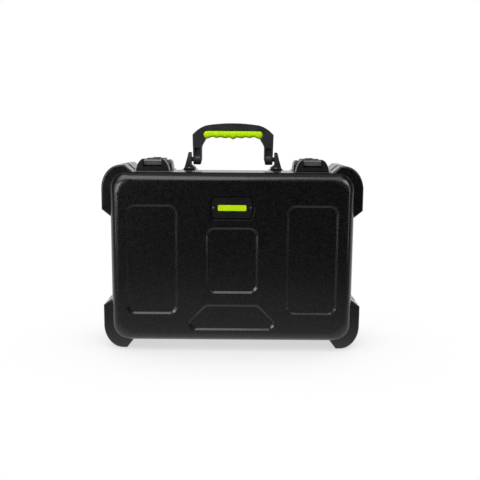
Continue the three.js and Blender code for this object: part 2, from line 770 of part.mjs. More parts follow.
// Frames
function ring(way, fromDepth, toDepth, outerInset, innerInset) {
  const near = PARTING_Y + way * fromDepth;
  const far = PARTING_Y + way * toDepth;
  const shape = rimOutline(outerInset);
  shape.holes.push(rimOutline(innerInset));
  return prismY(shape, Math.min(near, far), Math.max(near, far));
}

const WEB_OUT = WALL + SEAT + (LID_DRAFT * WEB_REACH) / LID_DEPTH;
const GROOVE_OUT = WEB_OUT + WEB;
const GROOVE_IN = GROOVE_OUT + GROOVE_WIDTH;
const HALF_GAP = SEAT / 2;
const TONGUE_OUT = (GROOVE_OUT + GROOVE_IN - TONGUE) / 2;

const lidFrame = cutBy(
  joined(
    ring(-1, HALF_GAP, HALF_GAP + FLANGE, 0, GROOVE_IN + WEB),
    ring(-1, HALF_GAP, WEB_REACH, WEB_OUT, GROOVE_OUT),
    ring(-1, HALF_GAP, GROOVE_DEPTH + WEB, WEB_OUT, GROOVE_IN + WEB),
  ),
  ring(-1, -OVERRUN, GROOVE_DEPTH, GROOVE_OUT, GROOVE_IN),
);
addPiece(lidGroup, "lid_frame", lidFrame, frameMetal);

const baseFrame = joined(
  ring(1, HALF_GAP, HALF_GAP + FLANGE, 0, FLANGE_REACH),
  ring(1, HALF_GAP, WEB_REACH, WEB_OUT, GROOVE_OUT),
  ring(1, -TONGUE_REACH, HALF_GAP + FLANGE, TONGUE_OUT, TONGUE_OUT + TONGUE),
);
addPiece(baseGroup, "base_frame", baseFrame, frameMetal);

const sealFloor = GROOVE_DEPTH - SEAT;
const seal = ring(-1, sealFloor - SEAL_THICKNESS, sealFloor, GROOVE_OUT + SEAT, GROOVE_IN - SEAT);
addPiece(lidGroup, "lid_seal", seal, sealRubber);

// Badge
const badgeFloor = FRONT_Y + PANEL_DEPTH - SEAT;
const badgePlate = prismY(badgeOutline(BADGE_MARGIN), badgeFloor - BADGE_THICKNESS, badgeFloor);
addPiece(lidGroup, "badge_plate", cutBy(badgePlate, ...badgeHoles), frameMetal);
for (const { side, sign } of SIDES) {
  const mesh = addPiece(lidGroup, `badge_pin_${side}`, drivePin(BADGE_PIN_LENGTH), steel);
  const level = badgeFloor - BADGE_THICKNESS - SEAT;
  mesh.position.set(sign * BADGE_PIN_X, level, (BADGE_TOP + BADGE_BOTTOM) / 2);
  mesh.rotation.x = Math.PI / 2;
}

// Foam
const INSERT_FRONT = PARTING_Y + FOAM_SINK;
const INSERT_BACK = INSERT_FRONT + INSERT_THICKNESS;
const PAD_FRONT = INSERT_BACK + SEAT;
const PAD_BACK = BACK_Y - WALL - PANEL_DEPTH - SEAT;
const FOAM_INSET = WALL + FOAM_SIDE_GAP; // from the rim's outline to the foam's
const SLOT_COUNT = Math.floor((2 * (RIM_HALF - FOAM_INSET)) / SLOT_PITCH);
const SLOT_LENGTH = RIM_TOP - RIM_BOTTOM - 2 * (FOAM_INSET + SLOT_END_WALL);

function baseFoam(front, back, edge) {
  const insetAt = (y) => FOAM_INSET + (BASE_DRAFT * (y - PARTING_Y)) / BASE_DEPTH;
  return loft([
    { y: front, shape: rimOutline(insetAt(front)) },
    { y: back - edge, shape: rimOutline(insetAt(back)) },
    { y: back, shape: rimOutline(insetAt(back) + edge) },
  ]);
}

// A slot for one microphone, with a wide end for its head and a narrower one for its body
function slotOutline(index) {
  const x = (index - (SLOT_COUNT - 1) / 2) * SLOT_PITCH;
  const middle = (RIM_TOP + RIM_BOTTOM) / 2;
  const headUp = index % 2 === 0 ? 1 : -1;
  const shoulder = SLOT_LENGTH / 2 - SLOT_HEAD_LENGTH;
  const points = corners(
    [-SLOT_BODY_HALF, -SLOT_LENGTH / 2],
    [SLOT_BODY_HALF, -SLOT_LENGTH / 2],
    [SLOT_BODY_HALF, shoulder - SLOT_SHOULDER],
    [SLOT_HEAD_HALF, shoulder],
    [SLOT_HEAD_HALF, SLOT_LENGTH / 2],
    [-SLOT_HEAD_HALF, SLOT_LENGTH / 2],
    [-SLOT_HEAD_HALF, shoulder],
    [-SLOT_BODY_HALF, shoulder - SLOT_SHOULDER],
  );
  const placed = points.map((point) => new THREE.Vector2(point.x * headUp + x, point.y * headUp + middle));
  return roundedPolygon(placed, SLOT_RADIUS);
}

const slots = Array.from({ length: SLOT_COUNT }, (_, index) =>
  prismY(slotOutline(index), INSERT_FRONT - OVERRUN, INSERT_BACK + OVERRUN, 0, SMALL_STEPS),
);
addPiece(baseGroup, "base_foam_pad", baseFoam(PAD_FRONT, PAD_BACK, EDGE_RADIUS), foam);
addPiece(baseGroup, "base_foam_insert", cutBy(baseFoam(INSERT_FRONT, INSERT_BACK, SEAT), ...slots), foam);

// The lid's foam sheet: flat on the lid, with egg-crate peaks towards the microphones
function eggCrate(front, sheet, wave, pitch) {
  const inset = FOAM_INSET + LID_DRAFT;
  const halfX = RIM_HALF - inset;
  const low = RIM_BOTTOM + inset;
  const high = RIM_TOP - inset;
  const countX = 2 * Math.round((2 * halfX) / pitch);
  const countZ = 2 * Math.round((high - low) / pitch);
  const points = [];
  for (let row = 0; row <= countZ; row++) {
    for (let column = 0; column <= countX; column++) {
      const x = -halfX + (2 * halfX * column) / countX;
      const z = low + ((high - low) * row) / countZ;
      const swell = Math.sin((column * Math.PI) / 2) * Math.sin((row * Math.PI) / 2);
      points.push(new THREE.Vector3(x, front + sheet + wave * swell, z));
    }
  }
  const at = (row, column) => row * (countX + 1) + column;
  const faces = [];
  for (let row = 0; row < countZ; row++) {
    for (let column = 0; column < countX; column++) {
      const [a, b] = [at(row, column), at(row, column + 1)];
      const [c, d] = [at(row + 1, column + 1), at(row + 1, column)];
      faces.push(a, c, b, a, d, c);
    }
  }
  const edge = [];
  for (let column = 0; column < countX; column++) edge.push(at(0, column));
  for (let row = 0; row < countZ; row++) edge.push(at(row, countX));
  for (let column = countX; column > 0; column--) edge.push(at(countZ, column));
  for (let row = countZ; row > 0; row--) edge.push(at(row, 0));
  const first = points.length;
  for (const index of edge) points.push(new THREE.Vector3(points[index].x, front, points[index].z));
  const flatEdge = edge.map((index) => new THREE.Vector2(points[index].x, points[index].z));
  edge.forEach((index, i) => {
    const next = (i + 1) % edge.length;
    faces.push(index, edge[next], first + next, index, first + next, first + i);
  });
  for (const [a, b, c] of THREE.ShapeUtils.triangulateShape(flatEdge, [])) {
    faces.push(first + a, first + b, first + c);
  }
  const geometry = new THREE.BufferGeometry().setFromPoints(points);
  geometry.setIndex(faces);
  return solidOf(geometry);
}

const LID_FOAM_FRONT = FRONT_Y + WALL + PANEL_DEPTH + SEAT;
const LID_FOAM_SHEET = PARTING_Y - LID_FOAM_SINK - LID_FOAM_WAVE - LID_FOAM_FRONT;
const lidFoamEnvelope = prismY(
  rimOutline(FOAM_INSET + LID_DRAFT),
  LID_FOAM_FRONT - OVERRUN,
  PARTING_Y,
);
const lidFoam = eggCrate(LID_FOAM_FRONT, LID_FOAM_SHEET, LID_FOAM_WAVE, LID_FOAM_PITCH);
addPiece(lidGroup, "lid_foam", lidFoam.intersect(lidFoamEnvelope), foam);

// Hinges
function hingeLeaf(way, ownKnuckle) {
  const knuckle = HINGE_LENGTH / HINGE_KNUCKLES;
  const top = HINGE_BARREL;
  const bottom = HINGE_BARREL - HINGE_PLATE;
  const clear = HINGE_BARREL + KNUCKLE_GAP;
  const half = HINGE_LENGTH / 2;
  const across = (near, far) => [Math.min(way * near, way * far), Math.max(way * near, way * far)];
  const plate = prismZ(
    polygon(rectangle(-half, across(clear, HINGE_LEAF)[0], half, across(clear, HINGE_LEAF)[1])),
    bottom,
    top,
  );
  const parts = [];
  for (let i = 0; i < HINGE_KNUCKLES; i++) {
    if (i % 2 !== ownKnuckle) continue;
    const from = -half + i * knuckle + (i > 0 ? KNUCKLE_GAP / 2 : 0);
    const to = -half + (i + 1) * knuckle - (i < HINGE_KNUCKLES - 1 ? KNUCKLE_GAP / 2 : 0);
    parts.push(rodX(HINGE_BARREL, from, to, 0, 0), box(from, to, ...across(0, clear + SEAT), bottom, top));
  }
  const bore = rodX(HINGE_PIN + RUNNING, -HINGE_LENGTH, HINGE_LENGTH, 0, 0, PIN_STEPS);
  const holes = SIDES.map(({ sign }) =>
    rodZ(RIVET_SHANK + RIVET_HOLE_GAP, 0, 2 * top, sign * HINGE_RIVET_X, way * HINGE_RIVET_Y, RIVET_STEPS),
  );
  return cutBy(joined(plate, ...parts), bore, ...holes);
}

for (const { side, sign } of SIDES) {
  const place = new THREE.Vector3(sign * HINGE_X, PARTING_Y, HINGE_Z);
  const pin = rodX(HINGE_PIN, -HINGE_LENGTH / 2, HINGE_LENGTH / 2, 0, 0, PIN_STEPS);
  addPiece(baseGroup, `hinge_leaf_base_${side}`, hingeLeaf(1, 0), latchMetal).position.copy(place);
  addPiece(baseGroup, `hinge_pin_${side}`, pin, steel).position.copy(place);
  addPiece(lidGroup, `hinge_leaf_lid_${side}`, hingeLeaf(-1, 1), latchMetal).position.copy(place);
}

// Handle: a group with its origin on the pivot, in the middle of the case
const handleGroup = new THREE.Group();
handleGroup.position.set(0, PARTING_Y + HANDLE_Y, RIM_TOP + PIVOT_RISE);
microphoneCase.add(handleGroup);

function handleOutline() {
  const half = new THREE.Path();
  half.moveTo(HANDLE_INNER_HALF + HANDLE_TOE, -HUB_RADIUS);
  half.lineTo(HANDLE_FOOT_HALF, -HUB_RADIUS);
  half.lineTo(HANDLE_OUTER_HALF, HANDLE_CORNER_RISE);
  const bendX = HANDLE_OUTER_HALF - SHOULDER_BEND_IN;
  const bendRise = HANDLE_CORNER_RISE + SHOULDER_BEND_RISE;
  half.quadraticCurveTo(bendX, bendRise, HANDLE_SHOULDER_HALF, HANDLE_SHOULDER_RISE);
  half.quadraticCurveTo(HANDLE_SHOULDER_HALF / 2, HANDLE_CROWN_RISE, 0, HANDLE_CROWN_RISE);
  const outer = half.getPoints(CORNER_STEPS);
  outer.pop();
  const top = new THREE.Vector2(0, HANDLE_CROWN_RISE);
  const inner = corners(
    [0, CORE_RISE],
    [GRIP_HALF - GRIP_END_IN, CORE_RISE],
    [GRIP_HALF - GRIP_END_IN, GRIP_END_RISE],
    [HANDLE_INNER_HALF, HANDLE_KNEE_RISE],
    [HANDLE_INNER_HALF, 0],
  );
  const left = [...outer].reverse().map((point) => new THREE.Vector2(-point.x, point.y));
  const leftInner = inner.slice(1).reverse().map((point) => new THREE.Vector2(-point.x, point.y));
  return polygon([...outer, top, ...left, ...leftInner, ...inner.slice(1)]);
}

// The grip's outline: straight on top, round at both ends, with finger hollows below
function gripOutline(grow) {
  const top = GRIP_TOP_RISE + grow;
  const low = GRIP_END_RISE - grow;
  const flat = GRIP_HALF - GRIP_END_IN;
  const under = [];
  for (let i = 0; i <= GRIP_STEPS; i++) {
    const x = -flat + (2 * flat * i) / GRIP_STEPS;
    const run = flat - Math.abs(x);
    const arch = GRIP_ARCH * THREE.MathUtils.smoothstep(run, 0, GRIP_ARCH_RUN);
    const sag = (GRIP_SAG * run) / flat;
    const inFingers = Math.abs(x) < ((GRIP_FINGERS - 0.5) * FINGER_PITCH) / 2;
    const wave = inFingers ? GRIP_WAVE * Math.cos((2 * Math.PI * x) / FINGER_PITCH) : 0;
    const keel = GRIP_KEEL * (1 - THREE.MathUtils.smoothstep(Math.abs(x), 0, FINGER_PITCH / 2));
    under.push(new THREE.Vector2(x, low + arch - sag - wave - keel));
  }
  const end = new THREE.Path();
  end.absellipse(flat, (top + low) / 2, GRIP_END_IN + grow, (top - low) / 2, -Math.PI / 2, Math.PI / 2);
  const right = end.getPoints(GRIP_END_STEPS);
  const left = [...right].reverse().map((point) => new THREE.Vector2(-point.x, point.y));
  return polygon([...under, ...right.slice(1), ...left.slice(0, -1)]);
}

function handleBow() {
  const outline = handleOutline();
  const body = prismY(outline, -HANDLE_HALF_DEPTH, HANDLE_HALF_DEPTH, HANDLE_BEVEL);
  const sideShape = new THREE.Shape();
  sideShape.absarc(0, 0, HUB_RADIUS, Math.PI, 2 * Math.PI, false);
  sideShape.lineTo(HANDLE_HALF_DEPTH, HANDLE_KNEE_RISE);
  sideShape.lineTo(HANDLE_HALF_DEPTH, HANDLE_CROWN_RISE + OVERRUN);
  sideShape.lineTo(-HANDLE_HALF_DEPTH, HANDLE_CROWN_RISE + OVERRUN);
  sideShape.lineTo(-HANDLE_HALF_DEPTH, HANDLE_KNEE_RISE);
  const rounded = body.intersect(prismX(sideShape, -CASE_WIDTH, CASE_WIDTH));
  const gripRoom = prismY(gripOutline(SEAT), -HANDLE_HALF_DEPTH - OVERRUN, HANDLE_HALF_DEPTH + OVERRUN);
  const core = box(
    -GRIP_HALF - CORE_LAP,
    GRIP_HALF + CORE_LAP,
    -CORE_HALF_DEPTH,
    CORE_HALF_DEPTH,
    CORE_RISE,
    GRIP_TOP_RISE + CORE_LAP,
  );
  const pockets = [];
  const bosses = [];
  const bores = [];
  for (const { sign } of SIDES) {
    const edges = [
      sign * (HANDLE_INNER_HALF + LEG_POCKET_MARGIN),
      sign * (HANDLE_FOOT_HALF - LEG_POCKET_MARGIN),
    ];
    const bossRadius = HUB_RADIUS - HUB_BOSS_IN;
    bosses.push(rodX(bossRadius, Math.min(...edges) - CORE_LAP, Math.max(...edges) + CORE_LAP, 0, 0));
    for (const way of [-1, 1]) {
      const depths = [way * (HANDLE_HALF_DEPTH - LEG_POCKET_DEPTH), way * (HANDLE_HALF_DEPTH + OVERRUN)];
      pockets.push(
        box(
          Math.min(...edges),
          Math.max(...edges),
          Math.min(...depths),
          Math.max(...depths),
          LEG_POCKET_LOW,
          LEG_POCKET_HIGH,
        ),
      );
    }
    const boreEnds = [sign * (HANDLE_FOOT_HALF - PIVOT_IN_LEG - SEAT), sign * CASE_WIDTH];
    bores.push(rodX(PIVOT_RADIUS + RUNNING, Math.min(...boreEnds), Math.max(...boreEnds), 0, 0));
  }
  const hollowed = cutBy(joined(cutBy(rounded, gripRoom), core), ...pockets);
  return cutBy(joined(hollowed, ...bosses), ...bores);
}
addPiece(handleGroup, "handle_bow", handleBow(), handlePlastic);

function handleGrip() {
  const body = prismY(gripOutline(0), -GRIP_HALF_DEPTH, GRIP_HALF_DEPTH);
  const low = GRIP_END_RISE - GRIP_WAVE - GRIP_KEEL;
  const section = roundedPolygon(
    rectangle(-GRIP_HALF_DEPTH, low, GRIP_HALF_DEPTH, GRIP_TOP_RISE + GRIP_CORNER),
    GRIP_CORNER,
  );
  const rounded = body.intersect(prismX(section, -CASE_WIDTH, CASE_WIDTH));
  const room = box(
    -CASE_WIDTH,
    CASE_WIDTH,
    -CORE_HALF_DEPTH - SEAT,
    CORE_HALF_DEPTH + SEAT,
    CORE_RISE - SEAT,
    GRIP_TOP_RISE + OVERRUN,
  );
  return cutBy(rounded, room);
}
addPiece(handleGroup, "handle_grip", handleGrip(), gripRubber);

// Brackets: a fin seen from the front, a rounded lug seen from the side
function bracket(sign) {
  const foot = -PIVOT_RISE + SEAT;
  const crown = BRACKET_RISE - PIVOT_RISE;
  const topOuter = BRACKET_INNER + BRACKET_TOP_WIDTH;
  const front = corners(
    [BRACKET_TOE, foot],
    [BRACKET_OUTER, foot],
    [BRACKET_OUTER - BRACKET_FOOT / 2, foot + BRACKET_FOOT],
    [topOuter + BRACKET_TOP_WIDTH / 2, 0],
    [topOuter, crown],
    [BRACKET_INNER, crown],
    [BRACKET_INNER, foot + BRACKET_SHOULDER / 2],
    [BRACKET_TOE, foot + BRACKET_FOOT],
  ).map((point) => new THREE.Vector2(point.x * sign, point.y));
  const side = corners(
    [-BRACKET_FOOT_HALF, foot],
    [BRACKET_FOOT_HALF, foot],
    [BRACKET_FOOT_HALF, foot + BRACKET_FOOT],
    [BRACKET_FIN_HALF, foot + BRACKET_FOOT],
    [BRACKET_CROWN, crown - BRACKET_CROWN / 2],
    [BRACKET_CROWN / 2, crown],
    [-BRACKET_CROWN / 2, crown],
    [-BRACKET_CROWN, crown - BRACKET_CROWN / 2],
    [-BRACKET_FIN_HALF, foot + BRACKET_FOOT],
    [-BRACKET_FOOT_HALF, foot + BRACKET_FOOT],
  );
  const fin = prismY(polygon(sign > 0 ? front : front.reverse()), -BRACKET_FOOT_HALF, BRACKET_FOOT_HALF);
  const lug = prismX(polygon(side), -CASE_WIDTH, CASE_WIDTH);
  const ends = [sign * (HANDLE_FOOT_HALF - PIVOT_IN_LEG), sign * (topOuter + SEAT)];
  const bore = rodX(PIVOT_RADIUS + RUNNING, Math.min(...ends), Math.max(...ends), 0, 0);
  const holes = [-1, 1].map((end) =>
    rodZ(
      RIVET_SHANK + RIVET_HOLE_GAP,
      foot - OVERRUN,
      foot + BRACKET_FOOT + OVERRUN,
      sign * BRACKET_RIVET_X,
      end * BRACKET_RIVET_Y,
      RIVET_STEPS,
    ),
  );
  return cutBy(fin.intersect(lug), bore, ...holes);
}

const bracketGroup = new THREE.Group();
bracketGroup.position.copy(handleGroup.position);
baseGroup.add(bracketGroup);
for (const { side, sign } of SIDES) {
  addPiece(bracketGroup, `handle_bracket_${side}`, bracket(sign), handlePlastic);
  const ends = [sign * (HANDLE_FOOT_HALF - PIVOT_IN_LEG), sign * (BRACKET_INNER + PIVOT_IN_BRACKET)];
  const pin = rodX(PIVOT_RADIUS, Math.min(...ends), Math.max(...ends), 0, 0);
  addPiece(bracketGroup, `handle_pivot_${side}`, pin, handlePlastic);
}

// Latches: each is made round its own middle, with zero at the parting plane and the rim
function dome(half, shoulderHalf, shoulderRise, topHalf, rise) {
  const shoulder = new THREE.Vector2(shoulderHalf, shoulderRise);
  const top = new THREE.Vector2(topHalf, rise);
  const along = top.clone().sub(shoulder).normalize();
  const outward = new THREE.Vector2(along.y, -along.x);
  const pull = shoulder.clone().add(top).divideScalar(2).addScaledVector(outward, 2 * FLANK_SWELL);
  const shape = new THREE.Shape();
  shape.moveTo(-half, SEAT);
  shape.lineTo(half, SEAT);
  shape.lineTo(shoulder.x, shoulder.y);
  shape.quadraticCurveTo(pull.x, pull.y, top.x, top.y);
  shape.lineTo(-top.x, top.y);
  shape.quadraticCurveTo(-pull.x, pull.y, -shoulder.x, shoulder.y);
  return shape;
}

// A bore along X for a pin, right through a latch
function latchBore(pin, y, z) {
  return rodX(pin + RUNNING, -HOUSING_HALF, HOUSING_HALF, y, z, PIN_STEPS);
}

function latchKeeper() {
  const outline = dome(KEEPER_HALF, KEEPER_SHOULDER_HALF, KEEPER_SHOULDER_RISE, KEEPER_TOP_HALF, KEEPER_RISE);
  const block = prismY(outline, KEEPER_FRONT, KEEPER_BACK, KEEPER_BEVEL);
  const foot = box(
    -KEEPER_NOTCH_HALF,
    KEEPER_NOTCH_HALF,
    KEEPER_BACK - OVERRUN,
    KEEPER_FOOT,
    SEAT,
    LATCH_FLOOR,
  );
  const mouth = box(
    -KEEPER_NOTCH_HALF,
    KEEPER_NOTCH_HALF,
    KEEPER_FRONT - OVERRUN,
    KEEPER_BACK + OVERRUN,
    KEEPER_SILL,
    KEEPER_RISE + OVERRUN,
  );
  const trough = box(
    -KEEPER_NOTCH_HALF,
    KEEPER_NOTCH_HALF,
    KEEPER_FRONT + KEEPER_FRONT_WALL,
    KEEPER_BACK + OVERRUN,
    LATCH_FLOOR,
    KEEPER_RISE + OVERRUN,
  );
  const bar = box(
    -KEEPER_NOTCH_HALF - OVERRUN,
    KEEPER_NOTCH_HALF + OVERRUN,
    BAR_FRONT,
    BAR_FRONT + BAR_THICKNESS,
    SEAT,
    BAR_RISE,
  );
  const holes = SIDES.map(({ sign }) =>
    rodZ(RIVET_SHANK + RIVET_HOLE_GAP, 0, KEEPER_SILL, sign * KEEPER_RIVET_X, KEEPER_RIVET_Y, RIVET_STEPS),
  );
  return cutBy(joined(cutBy(block, mouth, trough), foot, bar), ...holes);
}

function latchHousing() {
  const outline = dome(
    HOUSING_HALF,
    HOUSING_SHOULDER_HALF,
    HOUSING_SHOULDER_RISE,
    HOUSING_TOP_HALF,
    HOUSING_RISE,
  );
  const side = polygon(
    corners(
      [HOUSING_FRONT, SEAT],
      [HOUSING_BACK, SEAT],
      [HOUSING_BACK, HOUSING_BACK_RISE],
      [HOUSING_BACK - HOUSING_BACK_RUN, HOUSING_RISE],
      [HOUSING_FRONT + HOUSING_FRONT_RUN, HOUSING_RISE],
      [HOUSING_FRONT, HOUSING_FRONT_RISE],
    ),
  );
  const block = prismY(outline, HOUSING_FRONT, HOUSING_BACK).intersect(
    prismX(side, -HOUSING_HALF, HOUSING_HALF),
  );
  const trough = box(
    -HOUSING_TROUGH_HALF,
    HOUSING_TROUGH_HALF,
    HOUSING_FRONT - OVERRUN,
    HOUSING_BACK + OVERRUN,
    LATCH_FLOOR,
    HOUSING_RISE + OVERRUN,
  );
  const bore = latchBore(LEVER_PIN, LEVER_PIVOT_Y, LEVER_PIVOT_RISE);
  const holes = SIDES.map(({ sign }) =>
    rodZ(
      RIVET_SHANK + RIVET_HOLE_GAP,
      0,
      HOUSING_FRONT_RISE,
      sign * HOUSING_RIVET_X,
      HOUSING_RIVET_Y,
      RIVET_STEPS,
    ),
  );
  return cutBy(block, trough, bore, ...holes);
}

const LINK_TURN = THREE.MathUtils.degToRad(LINK_ANGLE);
const LINK_Y = LEVER_PIVOT_Y + LINK_RADIUS * Math.cos(LINK_TURN);
const LINK_Z = LEVER_PIVOT_RISE + LINK_RADIUS * Math.sin(LINK_TURN);

function latchLever() {
  const side = corners(
    [LEVER_PIVOT_Y, LEVER_PIVOT_RISE - LEVER_HUB],
    [LINK_Y, LINK_Z - LINK_BOSS],
    [LINK_Y + LINK_BOSS, LINK_Z],
    [LEVER_HEEL_Y, LEVER_UNDERSIDE],
    [LEVER_BACK, LEVER_UNDERSIDE],
    [LEVER_TIP, LEVER_UNDERSIDE + LEVER_TIP_EDGE / 2],
    [LEVER_TIP, LEVER_TOP - LEVER_TIP_FALL],
    [LEVER_BACK, LEVER_TOP],
    [LEVER_NOSE_Y, LEVER_TOP],
    [LEVER_PIVOT_Y, LEVER_PIVOT_RISE + LEVER_HUB],
  );
  const body = prismX(polygon(side), -LEVER_HALF, LEVER_HALF, LEVER_BEVEL);
  const hub = rodX(LEVER_HUB, -LEVER_HALF, LEVER_HALF, LEVER_PIVOT_Y, LEVER_PIVOT_RISE);
  const pivotBore = latchBore(LEVER_PIN, LEVER_PIVOT_Y, LEVER_PIVOT_RISE);
  const linkBore = latchBore(LINK_PIN, LINK_Y, LINK_Z);
  const lockBore = rodZ(LOCK_RADIUS + RUNNING, 0, LEVER_TOP + OVERRUN, 0, LOCK_Y);
  return cutBy(joined(body, hub), pivotBore, linkBore, lockBore);
}

function latchHook() {
  const lipBack = BAR_FRONT - HOOK_LIP_GAP;
  const nose = new THREE.Shape();
  nose.moveTo(HOOK_YOKE_BACK, HOOK_PLATE_LOW);
  nose.lineTo(HOOK_YOKE_BACK, HOOK_PLATE_HIGH);
  nose.lineTo(HOOK_NOSE + HOOK_NOSE_RADIUS, HOOK_CROWN);
  nose.absarc(
    HOOK_NOSE + HOOK_NOSE_RADIUS,
    HOOK_CROWN - HOOK_NOSE_RADIUS,
    HOOK_NOSE_RADIUS,
    Math.PI / 2,
    Math.PI,
    false,
  );
  nose.lineTo(HOOK_NOSE, HOOK_LIP_LOW);
  nose.lineTo(lipBack, HOOK_LIP_LOW);
  nose.lineTo(lipBack, HOOK_PLATE_LOW);
  const arm = polygon(
    corners(
      [HOOK_YOKE_FRONT, HOOK_PLATE_LOW],
      [HOOK_ARM_UNDER, HOOK_PLATE_LOW],
      [LINK_Y - LINK_BOSS, LINK_Z + LINK_BOSS / 4],
      [LINK_Y - LINK_BOSS / 2, LINK_Z - LINK_BOSS],
      [LINK_Y + LINK_BOSS / 2, LINK_Z - LINK_BOSS],
      [LINK_Y + LINK_BOSS, LINK_Z + LINK_BOSS / 2],
      [HOOK_ARM_BEND, HOOK_PLATE_HIGH],
      [HOOK_YOKE_FRONT, HOOK_PLATE_HIGH],
    ),
  );
  const yoke = box(
    -HOOK_ARM_OUT,
    HOOK_ARM_OUT,
    HOOK_YOKE_FRONT,
    HOOK_YOKE_BACK,
    HOOK_PLATE_LOW,
    HOOK_PLATE_HIGH,
  );
  const arms = [prismX(arm, -HOOK_ARM_OUT, -HOOK_ARM_IN), prismX(arm, HOOK_ARM_IN, HOOK_ARM_OUT)];
  const bore = latchBore(LINK_PIN, LINK_Y, LINK_Z);
  return cutBy(joined(prismX(nose, -HOOK_HALF, HOOK_HALF), yoke, ...arms), bore);
}

// The key lock: a plug through the lever with a keyway on top and a cam below
function keyLock() {
  const flangeLow = LEVER_TOP + SEAT;
  const top = flangeLow + LOCK_FLANGE_RISE;
  const camTop = LEVER_UNDERSIDE - SEAT;
  const plug = rodZ(LOCK_RADIUS, camTop - LOCK_CAM_THICKNESS, top, 0, LOCK_Y);
  const flange = rodZ(LOCK_FLANGE, flangeLow, top, 0, LOCK_Y);
  const cam = box(
    -LOCK_CAM_HALF,
    LOCK_CAM_HALF,
    LOCK_Y,
    LOCK_Y + LOCK_CAM_LENGTH,
    camTop - LOCK_CAM_THICKNESS,
    camTop,
  );
  const keyway = box(
    -KEYWAY_HALF,
    KEYWAY_HALF,
    LOCK_Y - KEYWAY_LENGTH_HALF,
    LOCK_Y + KEYWAY_LENGTH_HALF,
    top - KEYWAY_DEPTH,
    top + OVERRUN,
  );
  return cutBy(joined(plug, flange, cam), keyway);
}

for (const { side, sign } of SIDES) {
  const onBase = new THREE.Group();
  const onLid = new THREE.Group();
  onBase.position.set(sign * LATCH_X, PARTING_Y, RIM_TOP);
  onLid.position.copy(onBase.position);
  baseGroup.add(onBase);
  lidGroup.add(onLid);
  const leverPin = rodX(
    LEVER_PIN,
    -LEVER_PIN_HALF,
    LEVER_PIN_HALF,
    LEVER_PIVOT_Y,
    LEVER_PIVOT_RISE,
    PIN_STEPS,
  );
  const linkPin = rodX(LINK_PIN, -LINK_PIN_HALF, LINK_PIN_HALF, LINK_Y, LINK_Z, PIN_STEPS);
  addPiece(onLid, `latch_keeper_${side}`, latchKeeper(), latchMetal);
  addPiece(onBase, `latch_housing_${side}`, latchHousing(), latchMetal);
  addPiece(onBase, `latch_lever_${side}`, latchLever(), latchMetal);
  addPiece(onBase, `latch_hook_${side}`, latchHook(), hookMetal);
  addPiece(onBase, `lever_pin_${side}`, leverPin, steel);
  addPiece(onBase, `hook_pin_${side}`, linkPin, steel);
  addPiece(onBase, `key_lock_${side}`, keyLock(), steel);
}

export default microphoneCase;
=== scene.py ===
import math

import bmesh
import bpy
from mathutils import Matrix, Vector


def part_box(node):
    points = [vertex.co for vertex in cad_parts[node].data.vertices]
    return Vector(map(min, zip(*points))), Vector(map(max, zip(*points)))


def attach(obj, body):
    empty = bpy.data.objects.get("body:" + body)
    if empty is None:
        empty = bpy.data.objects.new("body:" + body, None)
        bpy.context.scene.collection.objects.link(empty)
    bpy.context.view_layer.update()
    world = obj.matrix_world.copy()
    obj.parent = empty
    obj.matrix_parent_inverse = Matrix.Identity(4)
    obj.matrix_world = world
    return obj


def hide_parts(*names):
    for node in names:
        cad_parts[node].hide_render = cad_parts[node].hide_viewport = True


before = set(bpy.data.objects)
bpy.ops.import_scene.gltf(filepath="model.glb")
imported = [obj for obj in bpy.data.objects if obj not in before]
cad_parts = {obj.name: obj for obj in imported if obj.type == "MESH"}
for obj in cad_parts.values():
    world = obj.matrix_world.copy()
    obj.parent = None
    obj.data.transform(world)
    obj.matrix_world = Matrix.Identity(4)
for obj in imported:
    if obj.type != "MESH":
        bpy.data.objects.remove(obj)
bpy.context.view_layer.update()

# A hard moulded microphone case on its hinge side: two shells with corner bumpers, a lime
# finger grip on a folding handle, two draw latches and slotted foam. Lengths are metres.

# Camera, at the photograph's viewing angle
CAMERA_PLACE = Vector((0.014, -1.2825, 0.384))
CAMERA_PITCH = math.radians(81.3)
CAMERA_ROLL = math.radians(0.42)
CAMERA_LENS = 52.5
CAMERA_SENSOR = 36

# Case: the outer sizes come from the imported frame
CASE_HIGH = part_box("base_shell")[1]
RIM_LOW_CORNER, RIM_HIGH_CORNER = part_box("base_frame")
HALF_GAP = 0.00015
PARTING_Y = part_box("lid_frame")[1].y + HALF_GAP
FRONT_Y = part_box("lid_shell")[0].y
BACK_Y = CASE_HIGH.y
CASE_HALF = CASE_HIGH.x
CASE_TOP = CASE_HIGH.z
RIM_HALF = RIM_HIGH_CORNER.x
RIM_LOW = RIM_LOW_CORNER.z
RIM_HIGH = RIM_HIGH_CORNER.z
RIM_MIDDLE = (RIM_LOW + RIM_HIGH) / 2
RIM_START = 0.00245
RIM_RADIUS = 0.0295
LID_DRAFT = 0.0012
BASE_DRAFT = 0.005
EDGE_RADIUS, EDGE_STEPS = 0.017, 8
INNER_EDGE_RADIUS = 0.007
WALL = 0.0035
OVERRUN = 0.002

# Corner bumpers
BUMPER_INSET = 0.018
BUMPER_RIM_GAP = 0.002
BUMPER_ROUND = 0.0034
BUMPER_LENGTH = 0.078
BUMPER_WIDTH = 0.041
BUMPER_SLOPE = 0.0125
BUMPER_ARC_X = 0.034
BUMPER_ARC_Z = 0.042
BUMPER_ARC_STEPS = 16
BUMPER_DEPTH_IN = 0.012

# Notch below the hinge axis, which lets the lower bumpers pass each other
NOTCH_TOP = 0.014
NOTCH_HALF_ANGLE = math.radians(54)

